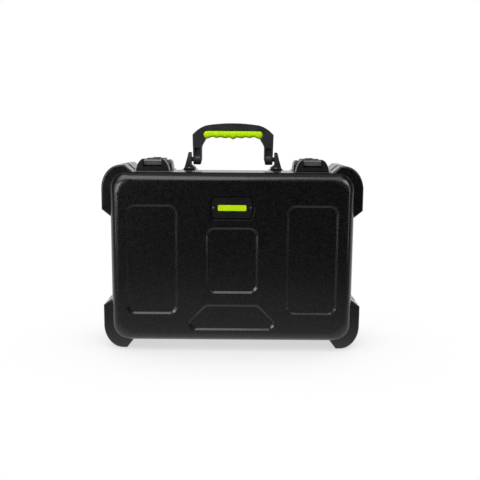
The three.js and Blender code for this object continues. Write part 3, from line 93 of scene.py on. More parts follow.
# Recessed panels
PANEL_DEPTH = 0.0024
PANEL_SLOPE = 0.0038
PANEL_LIP = 0.0018
PANEL_FILLET = 0.0012
PANEL_RADIUS, PANEL_CORNER_STEPS = 0.014, 10
RECESS_STEPS = 3
SIDE_PANEL = ((0.095, 0.067), (0.1845, 0.261))
MID_PANEL = ((-0.0455, 0.105), (0.0455, 0.222))
BACK_PANEL = ((-0.0455, 0.067), (0.0455, 0.261))
SILL_HIGH, SILL_SHOULDER, SILL_LOW = 0.085, 0.051, 0.038
SILL_HIGH_HALF, SILL_SHOULDER_HALF, SILL_LOW_HALF = 0.047, 0.078, 0.070
SILL_RADIUS, SILL_CORNER_STEPS = 0.006, 6

# Badge
BADGE_DEPTH, BADGE_LIP = 0.003, 0.0010
BADGE_HALF = 0.034
BADGE_BULGE = 0.0045
BADGE_LOW, BADGE_HIGH = 0.235, 0.2765
BADGE_MIDDLE = (BADGE_LOW + BADGE_HIGH) / 2
BADGE_MARGIN = 0.0034
BADGE_THICKNESS = 0.0012
BADGE_RIM = 0.0016
BADGE_SINK = 0.0004
BADGE_EDGE = 0.0002
BADGE_SIDES = 160
BADGE_HOLE_RADIUS = 0.00125
BAR_HALF = 0.0245
BAR_HALF_HEIGHT = 0.005
BAR_RADIUS, BAR_CORNER_STEPS = 0.0016, 6
BAR_EDGE = 0.0001

# Hardware lands on the shells
HINGE_X, HINGE_LAND_HALF, HINGE_LAND_END = 0.122, 0.041, 0.027
LATCH_X, KEEPER_LAND_HALF, KEEPER_LAND_END = 0.140, 0.0323, 0.039
HOUSING_LAND_HALF, HOUSING_LAND_END = 0.034, 0.051
BRACKET_LAND_IN, BRACKET_LAND_OUT, BRACKET_LAND_END = 0.066, 0.0933, 0.059
LAND_ROUND, LAND_STEPS = 0.001, 2

# Handle, with heights above its pivot
PIVOT = Vector((0, 0.0155, 0.3358))
HANDLE_OUTER_HALF = 0.0739
HANDLE_FOOT_HALF = 0.0724
HANDLE_INNER_HALF = 0.057
HANDLE_TOE = 0.0024
HUB_RADIUS = 0.010
HANDLE_HALF_DEPTH = 0.011
HANDLE_CORNER_RISE = 0.0446
HANDLE_SHOULDER_RISE = 0.0619
HANDLE_CROWN_RISE = 0.0654
HANDLE_SHOULDER_HALF = 0.046
SHOULDER_BEND_IN, SHOULDER_BEND_RISE = 0.013, 0.0143
HANDLE_KNEE_RISE = 0.0236
HANDLE_ROUND, HANDLE_SHARP = 0.0022, 42
HANDLE_CURVE_STEPS = 10
FOOT_STEPS = 8
KNEE_ROUND, KNEE_STEPS = 0.004, 6
POCKET_LOW, POCKET_HIGH = 0.0002, 0.0205
POCKET_DEPTH, POCKET_MARGIN, POCKET_LIP = 0.005, 0.0026, 0.0006
POCKET_IN, POCKET_OUT = HANDLE_INNER_HALF + POCKET_MARGIN, HANDLE_FOOT_HALF - POCKET_MARGIN
POCKET_RADIUS, POCKET_CORNER_STEPS = 0.0014, 5
BOSS_RADIUS, BOSS_SIDES = 0.0094, 48
PIVOT_BORE, PIVOT_IN_LEG = 0.0046, 0.0123
GRIP_HALF = 0.0545
GRIP_HIGH, GRIP_LOW = 0.0519, 0.037
GRIP_END_IN = 0.0055
GRIP_FLAT = GRIP_HALF - GRIP_END_IN
GRIP_ARCH, GRIP_ARCH_RUN = 0.0031, 0.010
GRIP_SAG = 0.0016
GRIP_WAVE = 0.00085
GRIP_KEEL = 0.0013
GRIP_FINGERS = 6
FINGER_PITCH = 0.0152
GRIP_HALF_DEPTH = 0.0124
GRIP_ROUND = 0.0062
GRIP_STEPS, GRIP_END_STEPS, GRIP_ROUND_STEPS = 96, 12, 8
CORE_HALF_DEPTH = 0.006
CORE_RISE = 0.0435
SEAT = 0.0003

# Foam
FOAM_GAP = 0.0069
PAD_FRONT, PAD_BACK = 0.0417, 0.0757
INSERT_FRONT, INSERT_BACK = -0.0086, 0.0414
FOAM_ROUND = 0.003
SLOT_COUNT, SLOT_PITCH = 6, 0.062
SLOT_HALF_LENGTH = 0.127
SLOT_BODY_HALF, SLOT_HEAD_HALF = 0.021, 0.0275
SLOT_HEAD_LENGTH, SLOT_SHOULDER = 0.076, 0.012
SLOT_RADIUS, SLOT_CORNER_STEPS = 0.008, 6
SLOT_SHOULDER_ROUND, SLOT_SHOULDER_STEPS = 0.005, 4
SLOT_LIP_STEPS = 5
LID_FOAM_SHEET, LID_FOAM_WAVE = 0.040, 0.012
LID_FOAM_INSET = 0.0104
WAVE_COLUMNS, WAVE_ROWS = 18, 12
WAVE_STEPS = 10

# Hardware that keeps its CAD form: steps and angle in degrees of its broken edges
HARDWARE_STEPS, HARDWARE_SHARP = 2, 46

# Rivets
RIVET_HEAD, RIVET_RISE = 0.0034, 0.0015
RIVET_SHANK, RIVET_SHANK_LENGTH = 0.0016, 0.003
RIVET_SEGMENTS, RIVET_RINGS = 24, 12

# Floor: its grey near the case and far from it, as the case mirrors it; the grey darkening away
# from the case is a painted falloff of light
FLOOR_SIZE, FLOOR_DROP = 6.0, 0.0002
FLOOR_NEAR, FLOOR_FAR = 0.34, 0.06
FLOOR_FALLOFF_SPAN = (0.3, 0.9)
FLOOR_ROUGHNESS, FLOOR_SPECULAR = 0.9, 0.1
WHITE_FROM = (-0.3, 0.1)
# Painted shadow on the floor: how far ambient occlusion looks, and how dark it paints
SHADOW_REACH, SHADOW_DEPTH = 0.25, 0.36

# Studio round the case: brightness, and where its parts begin and end on the unit sphere
STUDIO_FILL, STUDIO_DIM, STUDIO_CEILING = 0.25, 0.02, 0.35
WALL_SIDES, WALL_TOP, CEILING_EDGE = (0.1, 0.5), (0.22, 0.42), (0.80, 0.95)
LIGHT_TARGET = Vector((0, 0, 0.2))

# Softboxes: name, place, width, height, watts and spread in degrees
SOFTBOXES = (
    ("key", (-0.50, -0.85, 1.36), 1.5, 1.0, 15.5, 180),
    ("key_right", (0.64, -0.85, 1.36), 0.78, 1.0, 4.2, 180),
    ("left", (-0.95, -1.15, 0.45), 0.4, 0.6, 0.8, 70),
    ("right", (1.05, -0.8, 0.95), 0.35, 0.35, 0.8, 90),
    ("left_strip", (-1.10, -0.70, 0.35), 0.15, 0.8, 1.2, 180),
    ("right_strip", (1.10, -0.70, 0.35), 0.15, 0.8, 1.0, 180),
)

# Noise patterns mostly lie between these values
PATTERN_LOW, PATTERN_HIGH = 0.3, 0.7

# Faces that meet within these angles in degrees are shaded as one surface
SMOOTH_ANGLE, SMOOTH_HARDWARE, SMOOTH_FOAM, SMOOTH_GRIP, SMOOTH_WAVES = 35, 40, 45, 50, 60

# A small lip bends at this share of its width
LIP_BEND = 0.3

ROUND_STEPS = 12
FLAT_ANGLE = math.radians(0.5)
TOUCH = 1e-5
X, Y, Z = 0, 1, 2


# Camera
def set_camera():
    data = bpy.data.cameras.new("view")
    camera = bpy.data.objects.new("view", data)
    bpy.context.scene.collection.objects.link(camera)
    data.lens = CAMERA_LENS
    data.sensor_width = CAMERA_SENSOR
    turn = Matrix.Rotation(CAMERA_PITCH, 4, "X") @ Matrix.Rotation(CAMERA_ROLL, 4, "Z")
    camera.matrix_world = Matrix.Translation(CAMERA_PLACE) @ turn
    bpy.context.scene.camera = camera


# Modelling by hand: one piece is opened, parts of it are selected by place, then shaped
def edit(piece):
    if bpy.context.mode != "OBJECT":
        bpy.ops.object.mode_set(mode="OBJECT")
    bpy.ops.object.select_all(action="DESELECT")
    piece.select_set(True)
    bpy.context.view_layer.objects.active = piece
    bpy.ops.object.mode_set(mode="EDIT")


def leave():
    bpy.ops.object.mode_set(mode="OBJECT")


def choose(kind, wanted):
    mesh = bpy.context.edit_object.data
    bpy.ops.mesh.select_mode(type=kind)
    bpy.ops.mesh.select_all(action="DESELECT")
    form = bmesh.from_edit_mesh(mesh)
    parts = {"VERT": form.verts, "EDGE": form.edges, "FACE": form.faces}[kind]
    for part in parts:
        if wanted(part):
            part.select_set(True)
    form.select_flush_mode()
    bmesh.update_edit_mesh(mesh)


def runs_along(edge, axis):
    way = (edge.verts[1].co - edge.verts[0].co).normalized()
    return abs(way[axis]) > 1 - TOUCH


def lies_at(part, axis, place):
    return all(abs(vert.co[axis] - place) < TOUCH for vert in part.verts)


def block(name, low, high):
    low, high = Vector(low), Vector(high)
    bpy.ops.object.select_all(action="DESELECT")
    bpy.ops.mesh.primitive_cube_add(size=1, location=(low + high) / 2)
    piece = bpy.context.object
    piece.name = name
    piece.scale = high - low
    bpy.ops.object.transform_apply(location=True, rotation=True, scale=True)
    return piece


def rod(name, radius, axis, place, low, high, sides=32):
    turns = {X: (0, math.pi / 2, 0), Y: (math.pi / 2, 0, 0), Z: (0, 0, 0)}
    middle = Vector(place)
    middle[axis] = (low + high) / 2
    bpy.ops.object.select_all(action="DESELECT")
    bpy.ops.mesh.primitive_cylinder_add(
        vertices=sides, radius=radius, depth=high - low, location=middle, rotation=turns[axis]
    )
    piece = bpy.context.object
    piece.name = name
    bpy.ops.object.transform_apply(location=True, rotation=True, scale=True)
    return piece


# A flat outline in the X-Z plane at y, to be built up along Y
def sheet_outline(name, low, high, y):
    low, high = Vector((low[0], y, low[1])), Vector((high[0], y, high[1]))
    middle = (low + high) / 2
    bpy.ops.object.select_all(action="DESELECT")
    bpy.ops.mesh.primitive_plane_add(size=1, location=middle, rotation=(math.pi / 2, 0, 0))
    piece = bpy.context.object
    piece.name = name
    piece.scale = (high.x - low.x, high.z - low.z, 1)
    bpy.ops.object.transform_apply(location=True, rotation=True, scale=True)
    return piece


def traced(name, points, y):
    """A flat face whose outline is drawn from one point to the next by extruding a vertex."""
    first, *others = [Vector((x, y, z)) for x, z in points]
    bpy.ops.object.select_all(action="DESELECT")
    bpy.ops.mesh.primitive_plane_add(size=WALL, location=first)
    piece = bpy.context.object
    piece.name = name
    bpy.ops.object.transform_apply(location=True, rotation=True, scale=True)
    edit(piece)
    bpy.ops.mesh.select_all(action="SELECT")
    bpy.ops.mesh.merge(type="CENTER")
    before = first
    for point in others:
        bpy.ops.mesh.extrude_region_move(TRANSFORM_OT_translate={"value": point - before})
        before = point
    bpy.ops.mesh.select_all(action="SELECT")
    bpy.ops.mesh.edge_face_add()
    leave()
    return piece


def round_corners(piece, radius, steps=ROUND_STEPS, wanted=lambda vert: True):
    edit(piece)
    choose("VERT", wanted)
    bpy.ops.mesh.bevel(offset=radius, segments=steps, affect="VERTICES", clamp_overlap=False)
    leave()


def trim(piece, place, away, fill=False):
    edit(piece)
    bpy.ops.mesh.select_all(action="SELECT")
    bpy.ops.mesh.bisect(plane_co=place, plane_no=away, clear_outer=True, use_fill=fill)
    leave()


def build_up(piece, profile, centre=None):
    """Extrudes a flat outline along Y through pairs of a place and how far its edge lies out."""
    corners = [vert.co.copy() for vert in piece.data.vertices]
    low = Vector(min(corner[axis] for corner in corners) for axis in range(3))
    high = Vector(max(corner[axis] for corner in corners) for axis in range(3))
    centre, half = centre or (low + high) / 2, (high - low) / 2
    edit(piece)
    bpy.ops.mesh.select_all(action="SELECT")
    before = 0
    for step, (y, out) in enumerate(profile):
        if step == 0:
            bpy.ops.transform.translate(value=(0, y - low.y, 0))
        else:
            move = {"value": (0, y - profile[step - 1][0], 0)}
            bpy.ops.mesh.extrude_region_move(TRANSFORM_OT_translate=move)
        size_x = (half.x + out) / (half.x + before)
        size_z = (half.z + out) / (half.z + before)
        bpy.ops.transform.resize(value=(size_x, 1, size_z), center_override=centre)
        before = out
    bpy.ops.mesh.select_all(action="SELECT")
    bpy.ops.mesh.normals_make_consistent(inside=False)
    leave()
    return piece


def quarter(near, far, radius, steps, out=0):
    """Profile pairs for an edge rounded from the sides at near to the flat end at far."""
    way = math.copysign(1, far - near)
    angles = [math.pi / 2 * step / steps for step in range(steps + 1)]
    start = far - way * radius
    return [
        (start + way * radius * math.sin(angle), out - radius * (1 - math.cos(angle)))
        for angle in angles
    ]


def pillow_profile(near, far, radius, steps=4):
    first = quarter(far, near, radius, steps)
    return [*reversed(first), *quarter(near, far, radius, steps)]


def lipped_profile(face, inward, lip, depth):
    """From past the face to the floor, with a small lip at the face."""
    bend = lip * LIP_BEND
    pairs = [(-OVERRUN, lip), (0, lip), (bend, bend), (lip, 0), (depth, 0)]
    return [(face + inward * down, out) for down, out in pairs]


def apply_modifier(piece, modifier):
    bpy.ops.object.select_all(action="DESELECT")
    piece.select_set(True)
    bpy.context.view_layer.objects.active = piece
    bpy.ops.object.modifier_apply(modifier=modifier.name)


def combine(piece, tools, operation):
    for tool in tools:
        modifier = piece.modifiers.new(operation.lower(), "BOOLEAN")
        modifier.operation = operation
        modifier.solver = "EXACT"
        modifier.object = tool
        apply_modifier(piece, modifier)
        bpy.data.objects.remove(tool)


def round_edges(piece, width, steps=3, sharper_than=40):
    modifier = piece.modifiers.new("round", "BEVEL")
    modifier.limit_method = "ANGLE"
    modifier.angle_limit = math.radians(sharper_than)
    modifier.width = width
    modifier.segments = steps
    modifier.use_clamp_overlap = True
    apply_modifier(piece, modifier)


def clean(piece):
    edit(piece)
    bpy.ops.mesh.select_all(action="SELECT")
    bpy.ops.mesh.remove_doubles(threshold=TOUCH)
    bpy.ops.mesh.dissolve_limited(angle_limit=FLAT_ANGLE)
    leave()


def smooth(piece, angle=SMOOTH_ANGLE):
    bpy.ops.object.select_all(action="DESELECT")
    piece.select_set(True)
    bpy.context.view_layer.objects.active = piece
    bpy.ops.object.shade_smooth_by_angle(angle=math.radians(angle))
    modifier = piece.modifiers.new("flats", "WEIGHTED_NORMAL")
    modifier.keep_sharp = True
    apply_modifier(piece, modifier)


def hand_over(piece, name, body, material, replaced=()):
    """Names a finished piece, gives it its finish and the body that it moves with."""
    piece.name = name
    piece.data.materials.clear()
    piece.data.materials.append(material)
    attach(piece, body)
    if replaced:
        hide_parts(*replaced)


# Materials
def set_range(node, start, end, low, high):
    ends = {"From Min": start, "From Max": end, "To Min": low, "To Max": high}
    for socket, number in ends.items():
        node.inputs[socket].default_value = number


class Finish:
    """A principled material whose patterns read object coordinates."""

    def __init__(self, name, **values):
        self.material = bpy.data.materials.new(name)
        self.material.use_nodes = True
        self.tree = self.material.node_tree
        self.shader = self.tree.nodes["Principled BSDF"]
        for socket, value in values.items():
            self.shader.inputs[socket.replace("_", " ")].default_value = value
        self.place = self.add("ShaderNodeTexCoord").outputs["Object"]

    def add(self, kind, **settings):
        node = self.tree.nodes.new(kind)
        for key, value in settings.items():
            if key in node.inputs:
                node.inputs[key].default_value = value
            else:
                setattr(node, key, value)
        return node

    def link(self, source, target):
        self.tree.links.new(source, target)

    def noise(self, scale, detail, roughness=0.55, stretch=None):
        node = self.add("ShaderNodeTexNoise", Scale=scale, Detail=detail, Roughness=roughness)
        self.link(self.stretched(stretch), node.inputs["Vector"])
        return node.outputs["Fac"]

    def cells(self, scale, feature="F1"):
        node = self.add("ShaderNodeTexVoronoi", Scale=scale, feature=feature)
        self.link(self.place, node.inputs["Vector"])
        return node.outputs["Distance"]

    def stretched(self, stretch):
        if stretch is None:
            return self.place
        node = self.add("ShaderNodeMapping", Scale=stretch)
        self.link(self.place, node.inputs["Vector"])
        return node.outputs["Vector"]

    def tint(self, value, first, second, start=PATTERN_LOW, end=PATTERN_HIGH):
        ramp = self.add("ShaderNodeValToRGB")
        ramp.color_ramp.elements[0].position = start
        ramp.color_ramp.elements[0].color = (*first, 1)
        ramp.color_ramp.elements[1].position = end
        ramp.color_ramp.elements[1].color = (*second, 1)
        self.link(value, ramp.inputs["Fac"])
        self.link(ramp.outputs["Color"], self.shader.inputs["Base Color"])

    def rough(self, value, low, high, start=PATTERN_LOW, end=PATTERN_HIGH):
        node = self.add("ShaderNodeMapRange")
        set_range(node, start, end, low, high)
        self.link(value, node.inputs["Value"])
        self.link(node.outputs["Result"], self.shader.inputs["Roughness"])

    def bump(self, *layers):
        """Stacks bump layers, each a height value and its depth in metres."""
        normal = None
        for height, depth in layers:
            node = self.add("ShaderNodeBump", Strength=1.0, Distance=depth)
            self.link(height, node.inputs["Height"])
            if normal:
                self.link(normal, node.inputs["Normal"])
            normal = node.outputs["Normal"]
        self.link(normal, self.shader.inputs["Normal"])


def moulded_black():
    """Black polyethylene with a fine moulding grain under a smooth skin. The grain also speckles
    the colour: random grain tone together with painted sparkle that stands in for the grain's
    glints.
    """
    finish = Finish("moulded_black", Specular_IOR_Level=0.35, Coat_Weight=0.45, Coat_Roughness=0.13)
    grain_and_sparkle = finish.noise(380, 2)
    # Colour speckled by the grain: random grain tone and painted glints of the grain in one
    finish.tint(grain_and_sparkle, (0.0006, 0.0006, 0.0008), (0.0085, 0.0085, 0.0105), 0.40, 0.75)
    finish.rough(finish.noise(300, 3), 0.24, 0.38)
    finish.bump((grain_and_sparkle, 0.00016), (finish.noise(1500, 2), 0.00003))
    return finish.material


def satin_nylon(name, first, second):
    finish = Finish(name, Specular_IOR_Level=0.4)
    finish.tint(finish.noise(40, 4), first, second)
    finish.rough(finish.noise(90, 3), 0.34, 0.44)
    finish.bump((finish.noise(2200, 2), 0.00005))
    return finish.material


def lime_rubber():
    finish = Finish("lime_rubber", Specular_IOR_Level=0.12)
    finish.tint(finish.noise(300, 4), (0.43, 0.69, 0.002), (0.48, 0.76, 0.003))
    finish.rough(finish.noise(120, 3), 0.48, 0.62)
    finish.bump((finish.cells(1700, "SMOOTH_F1"), 0.00005))
    return finish.material


def powder_coat():
    finish = Finish("powder_coat", Specular_IOR_Level=0.4)
    finish.tint(finish.noise(50, 4), (0.0075, 0.0075, 0.0085), (0.013, 0.013, 0.015))
    finish.rough(finish.noise(300, 3), 0.26, 0.38)
    finish.bump((finish.noise(1500, 2), 0.00006))
    return finish.material


def dark_nickel():
    finish = Finish("dark_nickel", Metallic=0.4)
    brush = finish.noise(120, 4, 0.6, (1, 14, 14))
    finish.tint(brush, (0.10, 0.10, 0.105), (0.14, 0.14, 0.147))
    finish.rough(brush, 0.20, 0.30)
    finish.bump((brush, 0.00003))
    return finish.material


def anodised():
    finish = Finish("anodised", Metallic=0.85)
    draw = finish.noise(200, 4, 0.6, (1, 30, 1))
    finish.tint(draw, (0.020, 0.020, 0.022), (0.036, 0.036, 0.039))
    finish.rough(draw, 0.32, 0.46)
    finish.bump((draw, 0.00003))
    return finish.material


def plated_steel():
    finish = Finish("plated_steel", Metallic=1.0)
    mottle = finish.noise(400, 4)
    finish.tint(mottle, (0.17, 0.17, 0.175), (0.26, 0.26, 0.265))
    finish.rough(mottle, 0.26, 0.42)
    finish.bump((mottle, 0.00003))
    return finish.material


def badge_enamel():
    finish = Finish("badge_enamel", Specular_IOR_Level=0.45)
    finish.tint(finish.noise(80, 4), (0.0040, 0.0040, 0.0045), (0.0060, 0.0060, 0.0068))
    finish.rough(finish.noise(500, 3), 0.30, 0.42)
    finish.bump((finish.noise(1800, 2), 0.00003))
    return finish.material


def lime_enamel():
    finish = Finish("lime_enamel", Specular_IOR_Level=0.15)
    finish.tint(finish.noise(90, 3), (0.46, 0.71, 0.003), (0.52, 0.79, 0.004))
    finish.rough(finish.noise(400, 3), 0.34, 0.46)
    finish.bump((finish.noise(1500, 2), 0.00003))
    return finish.material


def matt_rubber():
    finish = Finish("matt_rubber", Specular_IOR_Level=0.3)
    finish.tint(finish.noise(200, 3), (0.006, 0.006, 0.006), (0.011, 0.011, 0.011))
    finish.rough(finish.noise(300, 3), 0.70, 0.85)
    finish.bump((finish.noise(1800, 2), 0.00008))
    return finish.material


def open_foam():
    finish = Finish("open_foam", Specular_IOR_Level=0.1, Sheen_Weight=0.15)
    pore_dents_and_shade = finish.cells(850)
    # The pores darken the colour where the bump dents the foam: painted shade in the pores
    finish.tint(pore_dents_and_shade, (0.008, 0.008, 0.009), (0.034, 0.034, 0.037), 0.05, 0.6)
    finish.rough(pore_dents_and_shade, 0.9, 1.0, 0.0, 1.0)
    finish.bump((pore_dents_and_shade, 0.0006), (finish.noise(120, 4), 0.0006))
    return finish.material


# Shells
def rim_outline(name, inset, y):
    half, low, high = RIM_HALF - inset, RIM_LOW + inset, RIM_HIGH - inset
    outline = sheet_outline(name, (-half, low), (half, high), y)
    round_corners(outline, max(RIM_RADIUS - inset, EDGE_RADIUS))
    return outline


def shell_skin(name, way, depth, draft, start, end, inset, edge_radius):
    near, far = PARTING_Y + way * start, PARTING_Y + way * end
    skin = rim_outline(name, inset, near)
    edge = quarter(near, far, edge_radius, EDGE_STEPS, -draft)
    return build_up(skin, [(near, -draft * max(start, 0) / depth), *edge])


def bumper(across, up, near, far):
    outer = Vector((across * CASE_HALF, 0, CASE_TOP if up > 0 else 0))
    side_proud = CASE_HALF - RIM_HALF
    end_proud = CASE_TOP - RIM_HIGH if up > 0 else RIM_LOW
    reach_x = BUMPER_WIDTH + BUMPER_SLOPE + BUMPER_DEPTH_IN
    reach_z = BUMPER_LENGTH + BUMPER_SLOPE + BUMPER_DEPTH_IN
    inner = outer - Vector((across * reach_x, 0, up * reach_z))
    low = (min(outer.x, inner.x), min(outer.z, inner.z))
    high = (max(outer.x, inner.x), max(outer.z, inner.z))
    outline = sheet_outline("bumper", low, high, near)
    end_place = outer - Vector((across * BUMPER_WIDTH, 0, 0))
    trim(outline, end_place, (-across * end_proud, 0, up * BUMPER_SLOPE))
    side_place = outer - Vector((0, 0, up * BUMPER_LENGTH))
    trim(outline, side_place, (across * BUMPER_SLOPE, 0, -up * side_proud))

    def is_outer(vert):
        return (vert.co.xz - outer.xz).length < TOUCH

    squeeze = BUMPER_ARC_X / BUMPER_ARC_Z
    edit(outline)
    bpy.ops.mesh.select_all(action="SELECT")
    bpy.ops.transform.resize(value=(1, 1, squeeze), center_override=outer)
    leave()
    round_corners(outline, BUMPER_ARC_X, BUMPER_ARC_STEPS, is_outer)
    edit(outline)
    bpy.ops.mesh.select_all(action="SELECT")
    bpy.ops.transform.resize(value=(1, 1, 1 / squeeze), center_override=outer)
    leave()
    return build_up(outline, pillow_profile(near, far, BUMPER_ROUND))


def land(x_low, x_high, way, end, on_top):
    near, far = PARTING_Y + way * RIM_START, PARTING_Y + way * end
    reach = RIM_START + WALL
    low = RIM_HIGH - reach if on_top else RIM_LOW
    ends = sorted((near, far))
    pad = block("land", (x_low, ends[0], low), (x_high, ends[1], low + reach))
    round_edges(pad, LAND_ROUND, LAND_STEPS)
    return pad


def shell_lands(way):
    latch_half = KEEPER_LAND_HALF if way < 0 else HOUSING_LAND_HALF
    latch_end = KEEPER_LAND_END if way < 0 else HOUSING_LAND_END
    spans = []
    for sign in (-1, 1):
        hinge, latch = sign * HINGE_X, sign * LATCH_X
        spans.append((hinge - HINGE_LAND_HALF, hinge + HINGE_LAND_HALF, HINGE_LAND_END, False))
        spans.append((latch - latch_half, latch + latch_half, latch_end, True))
        if way > 0:
            edges = sorted((sign * BRACKET_LAND_IN, sign * BRACKET_LAND_OUT))
            spans.append((*edges, BRACKET_LAND_END, True))
    return [land(x_low, x_high, way, end, on_top) for x_low, x_high, end, on_top in spans]


def notch():
    low = -OVERRUN
    half = (NOTCH_TOP - low) * math.tan(NOTCH_HALF_ANGLE)
    side = CASE_HALF + OVERRUN
    wedge = block("notch", (-side, -half, low), (side, half, NOTCH_TOP))
    edit(wedge)
    choose("VERT", lambda vert: abs(vert.co.z - NOTCH_TOP) < TOUCH)
    bpy.ops.transform.resize(value=(1, 0, 1), center_override=(0, 0, NOTCH_TOP))
    bpy.ops.mesh.select_all(action="SELECT")
    bpy.ops.mesh.remove_doubles(threshold=TOUCH)
    bpy.ops.transform.translate(value=(0, PARTING_Y, 0))
    bpy.ops.mesh.normals_make_consistent(inside=False)
    leave()
    return wedge


def recess_profile(face, inward):
    """From past the face to the floor: a rounded lip, a sloping wall and a filleted foot."""
    wall = math.atan2(PANEL_DEPTH, PANEL_SLOPE)
    lip_run = PANEL_LIP * math.tan(wall / 2)
    foot_run = PANEL_FILLET * math.tan(wall / 2)
    pairs = [(-OVERRUN, lip_run), (0, lip_run)]
    for step in range(1, RECESS_STEPS + 1):
        angle = wall * step / RECESS_STEPS
        pairs.append((PANEL_LIP * (1 - math.cos(angle)), lip_run - PANEL_LIP * math.sin(angle)))
    for step in range(RECESS_STEPS, -1, -1):
        angle = wall * step / RECESS_STEPS
        out = -PANEL_SLOPE - foot_run + PANEL_FILLET * math.sin(angle)
        pairs.append((PANEL_DEPTH - PANEL_FILLET * (1 - math.cos(angle)), out))
    return [(face + inward * depth, out) for depth, out in pairs]


def panel_tool(low, high, radius, face, inward):
    outline = sheet_outline("panel", low, high, face)
    round_corners(outline, radius, PANEL_CORNER_STEPS)
    return build_up(outline, recess_profile(face, inward))


def sill_tool(face, inward):
    low, high = (-SILL_SHOULDER_HALF, SILL_LOW), (SILL_SHOULDER_HALF, SILL_HIGH)
    outline = sheet_outline("sill", low, high, face)
    shoulder_run = SILL_SHOULDER_HALF - SILL_HIGH_HALF
    foot_run = SILL_SHOULDER_HALF - SILL_LOW_HALF
    for sign in (-1, 1):
        corner = (sign * SILL_SHOULDER_HALF, 0, SILL_SHOULDER)
        trim(outline, corner, (sign * (SILL_HIGH - SILL_SHOULDER), 0, shoulder_run))
        trim(outline, corner, (sign * (SILL_SHOULDER - SILL_LOW), 0, -foot_run))
    round_corners(outline, SILL_RADIUS, SILL_CORNER_STEPS)
    return build_up(outline, recess_profile(face, inward))


def barrel_outline(name, inset, y):
    """The badge's outline: straight above and below, bulging to both sides."""
    rise = (BADGE_HIGH - BADGE_LOW) / 2 - inset
    radius = (rise ** 2 + BADGE_BULGE ** 2) / (2 * BADGE_BULGE)
    centre = BADGE_HALF - inset + BADGE_BULGE - radius
    bpy.ops.object.select_all(action="DESELECT")
    bpy.ops.mesh.primitive_circle_add(
        vertices=BADGE_SIDES, radius=radius, fill_type="NGON",
        location=(centre, y, BADGE_MIDDLE), rotation=(math.pi / 2, 0, 0),
    )
    outline = bpy.context.object
    outline.name = name
    bpy.ops.object.transform_apply(location=True, rotation=True, scale=True)
    trim(outline, (0, y, BADGE_MIDDLE), (-1, 0, 0))
    trim(outline, (0, y, BADGE_MIDDLE + rise), (0, 0, 1))
    trim(outline, (0, y, BADGE_MIDDLE - rise), (0, 0, -1))
    modifier = outline.modifiers.new("other_half", "MIRROR")
    modifier.merge_threshold = TOUCH
    apply_modifier(outline, modifier)
    edit(outline)
    bpy.ops.mesh.select_all(action="SELECT")
    bpy.ops.mesh.normals_make_consistent(inside=False)
    bpy.ops.mesh.dissolve_limited(angle_limit=FLAT_ANGLE)
    leave()
    return outline


def badge_tool(face, inward):
    outline = barrel_outline("badge_recess", 0, face)
    return build_up(outline, lipped_profile(face, inward, BADGE_LIP, BADGE_DEPTH))


def side_panels(face, inward):
    (inner, low), (outer, high) = SIDE_PANEL
    return [
        panel_tool((-outer, low), (-inner, high), PANEL_RADIUS, face, inward),
        panel_tool((inner, low), (outer, high), PANEL_RADIUS, face, inward),
    ]


def shell(name, way, depth, draft, recesses):
    body = shell_skin(name, way, depth, draft, RIM_START, depth, 0, EDGE_RADIUS)
    near = PARTING_Y + way * (RIM_START + BUMPER_RIM_GAP)
    far = PARTING_Y + way * (depth - BUMPER_INSET)
    bumpers = [bumper(across, up, near, far) for across in (-1, 1) for up in (-1, 1)]
    combine(body, [*bumpers, *shell_lands(way)], "UNION")
    floor = depth - BADGE_DEPTH - WALL
    hollow = shell_skin("hollow", way, depth, draft, -OVERRUN, floor, WALL, INNER_EDGE_RADIUS)
    combine(body, [hollow, notch(), *recesses], "DIFFERENCE")
    clean(body)
    smooth(body)
    return body


# Handle
def mirrored(points):
    return [*points, *((-x, z) for x, z in reversed(points) if x > TOUCH)]


def curve(first, control, last):
    """Points of a quadratic curve after its first one."""
    first, control, last = Vector(first), Vector(control), Vector(last)
    points = []
    for step in range(1, HANDLE_CURVE_STEPS + 1):
        share = step / HANDLE_CURVE_STEPS
        points.append(tuple(first.lerp(control, share).lerp(control.lerp(last, share), share)))
    return points


def above_pivot(points):
    return [(x, PIVOT.z + z) for x, z in points]


def bow_outline(y):
    """The outer side of the handle, from the feet up over both shoulders."""
    corner = (HANDLE_OUTER_HALF, HANDLE_CORNER_RISE)
    shoulder = (HANDLE_SHOULDER_HALF, HANDLE_SHOULDER_RISE)
    bend = (HANDLE_OUTER_HALF - SHOULDER_BEND_IN, HANDLE_CORNER_RISE + SHOULDER_BEND_RISE)
    right = [
        (HANDLE_FOOT_HALF, -HUB_RADIUS),
        corner,
        *curve(corner, bend, shoulder),
        *curve(shoulder, (HANDLE_SHOULDER_HALF / 2, HANDLE_CROWN_RISE), (0, HANDLE_CROWN_RISE)),
    ]
    return traced("bow", above_pivot(mirrored(right)), y)


def bow_opening(near, far):
    """The hand's opening: turned-out toes, knees that slope in to the grip's ends."""
    right = [
        (HANDLE_INNER_HALF + HANDLE_TOE, -HUB_RADIUS - OVERRUN),
        (HANDLE_INNER_HALF + HANDLE_TOE, -HUB_RADIUS),
        (HANDLE_INNER_HALF, 0),
        (HANDLE_INNER_HALF, HANDLE_KNEE_RISE),
        (GRIP_FLAT, GRIP_LOW),
        (GRIP_FLAT, CORE_RISE),
    ]
    opening = traced("opening", above_pivot(mirrored(right)), near - OVERRUN)
    knee = PIVOT.z + HANDLE_KNEE_RISE
    round_corners(opening, KNEE_ROUND, KNEE_STEPS, lambda vert: abs(vert.co.z - knee) < TOUCH)
    return build_up(opening, [(near - OVERRUN, 0), (far + OVERRUN, 0)])


def ease(share):
    share = max(0.0, min(1.0, share))
    return share * share * (3 - 2 * share)


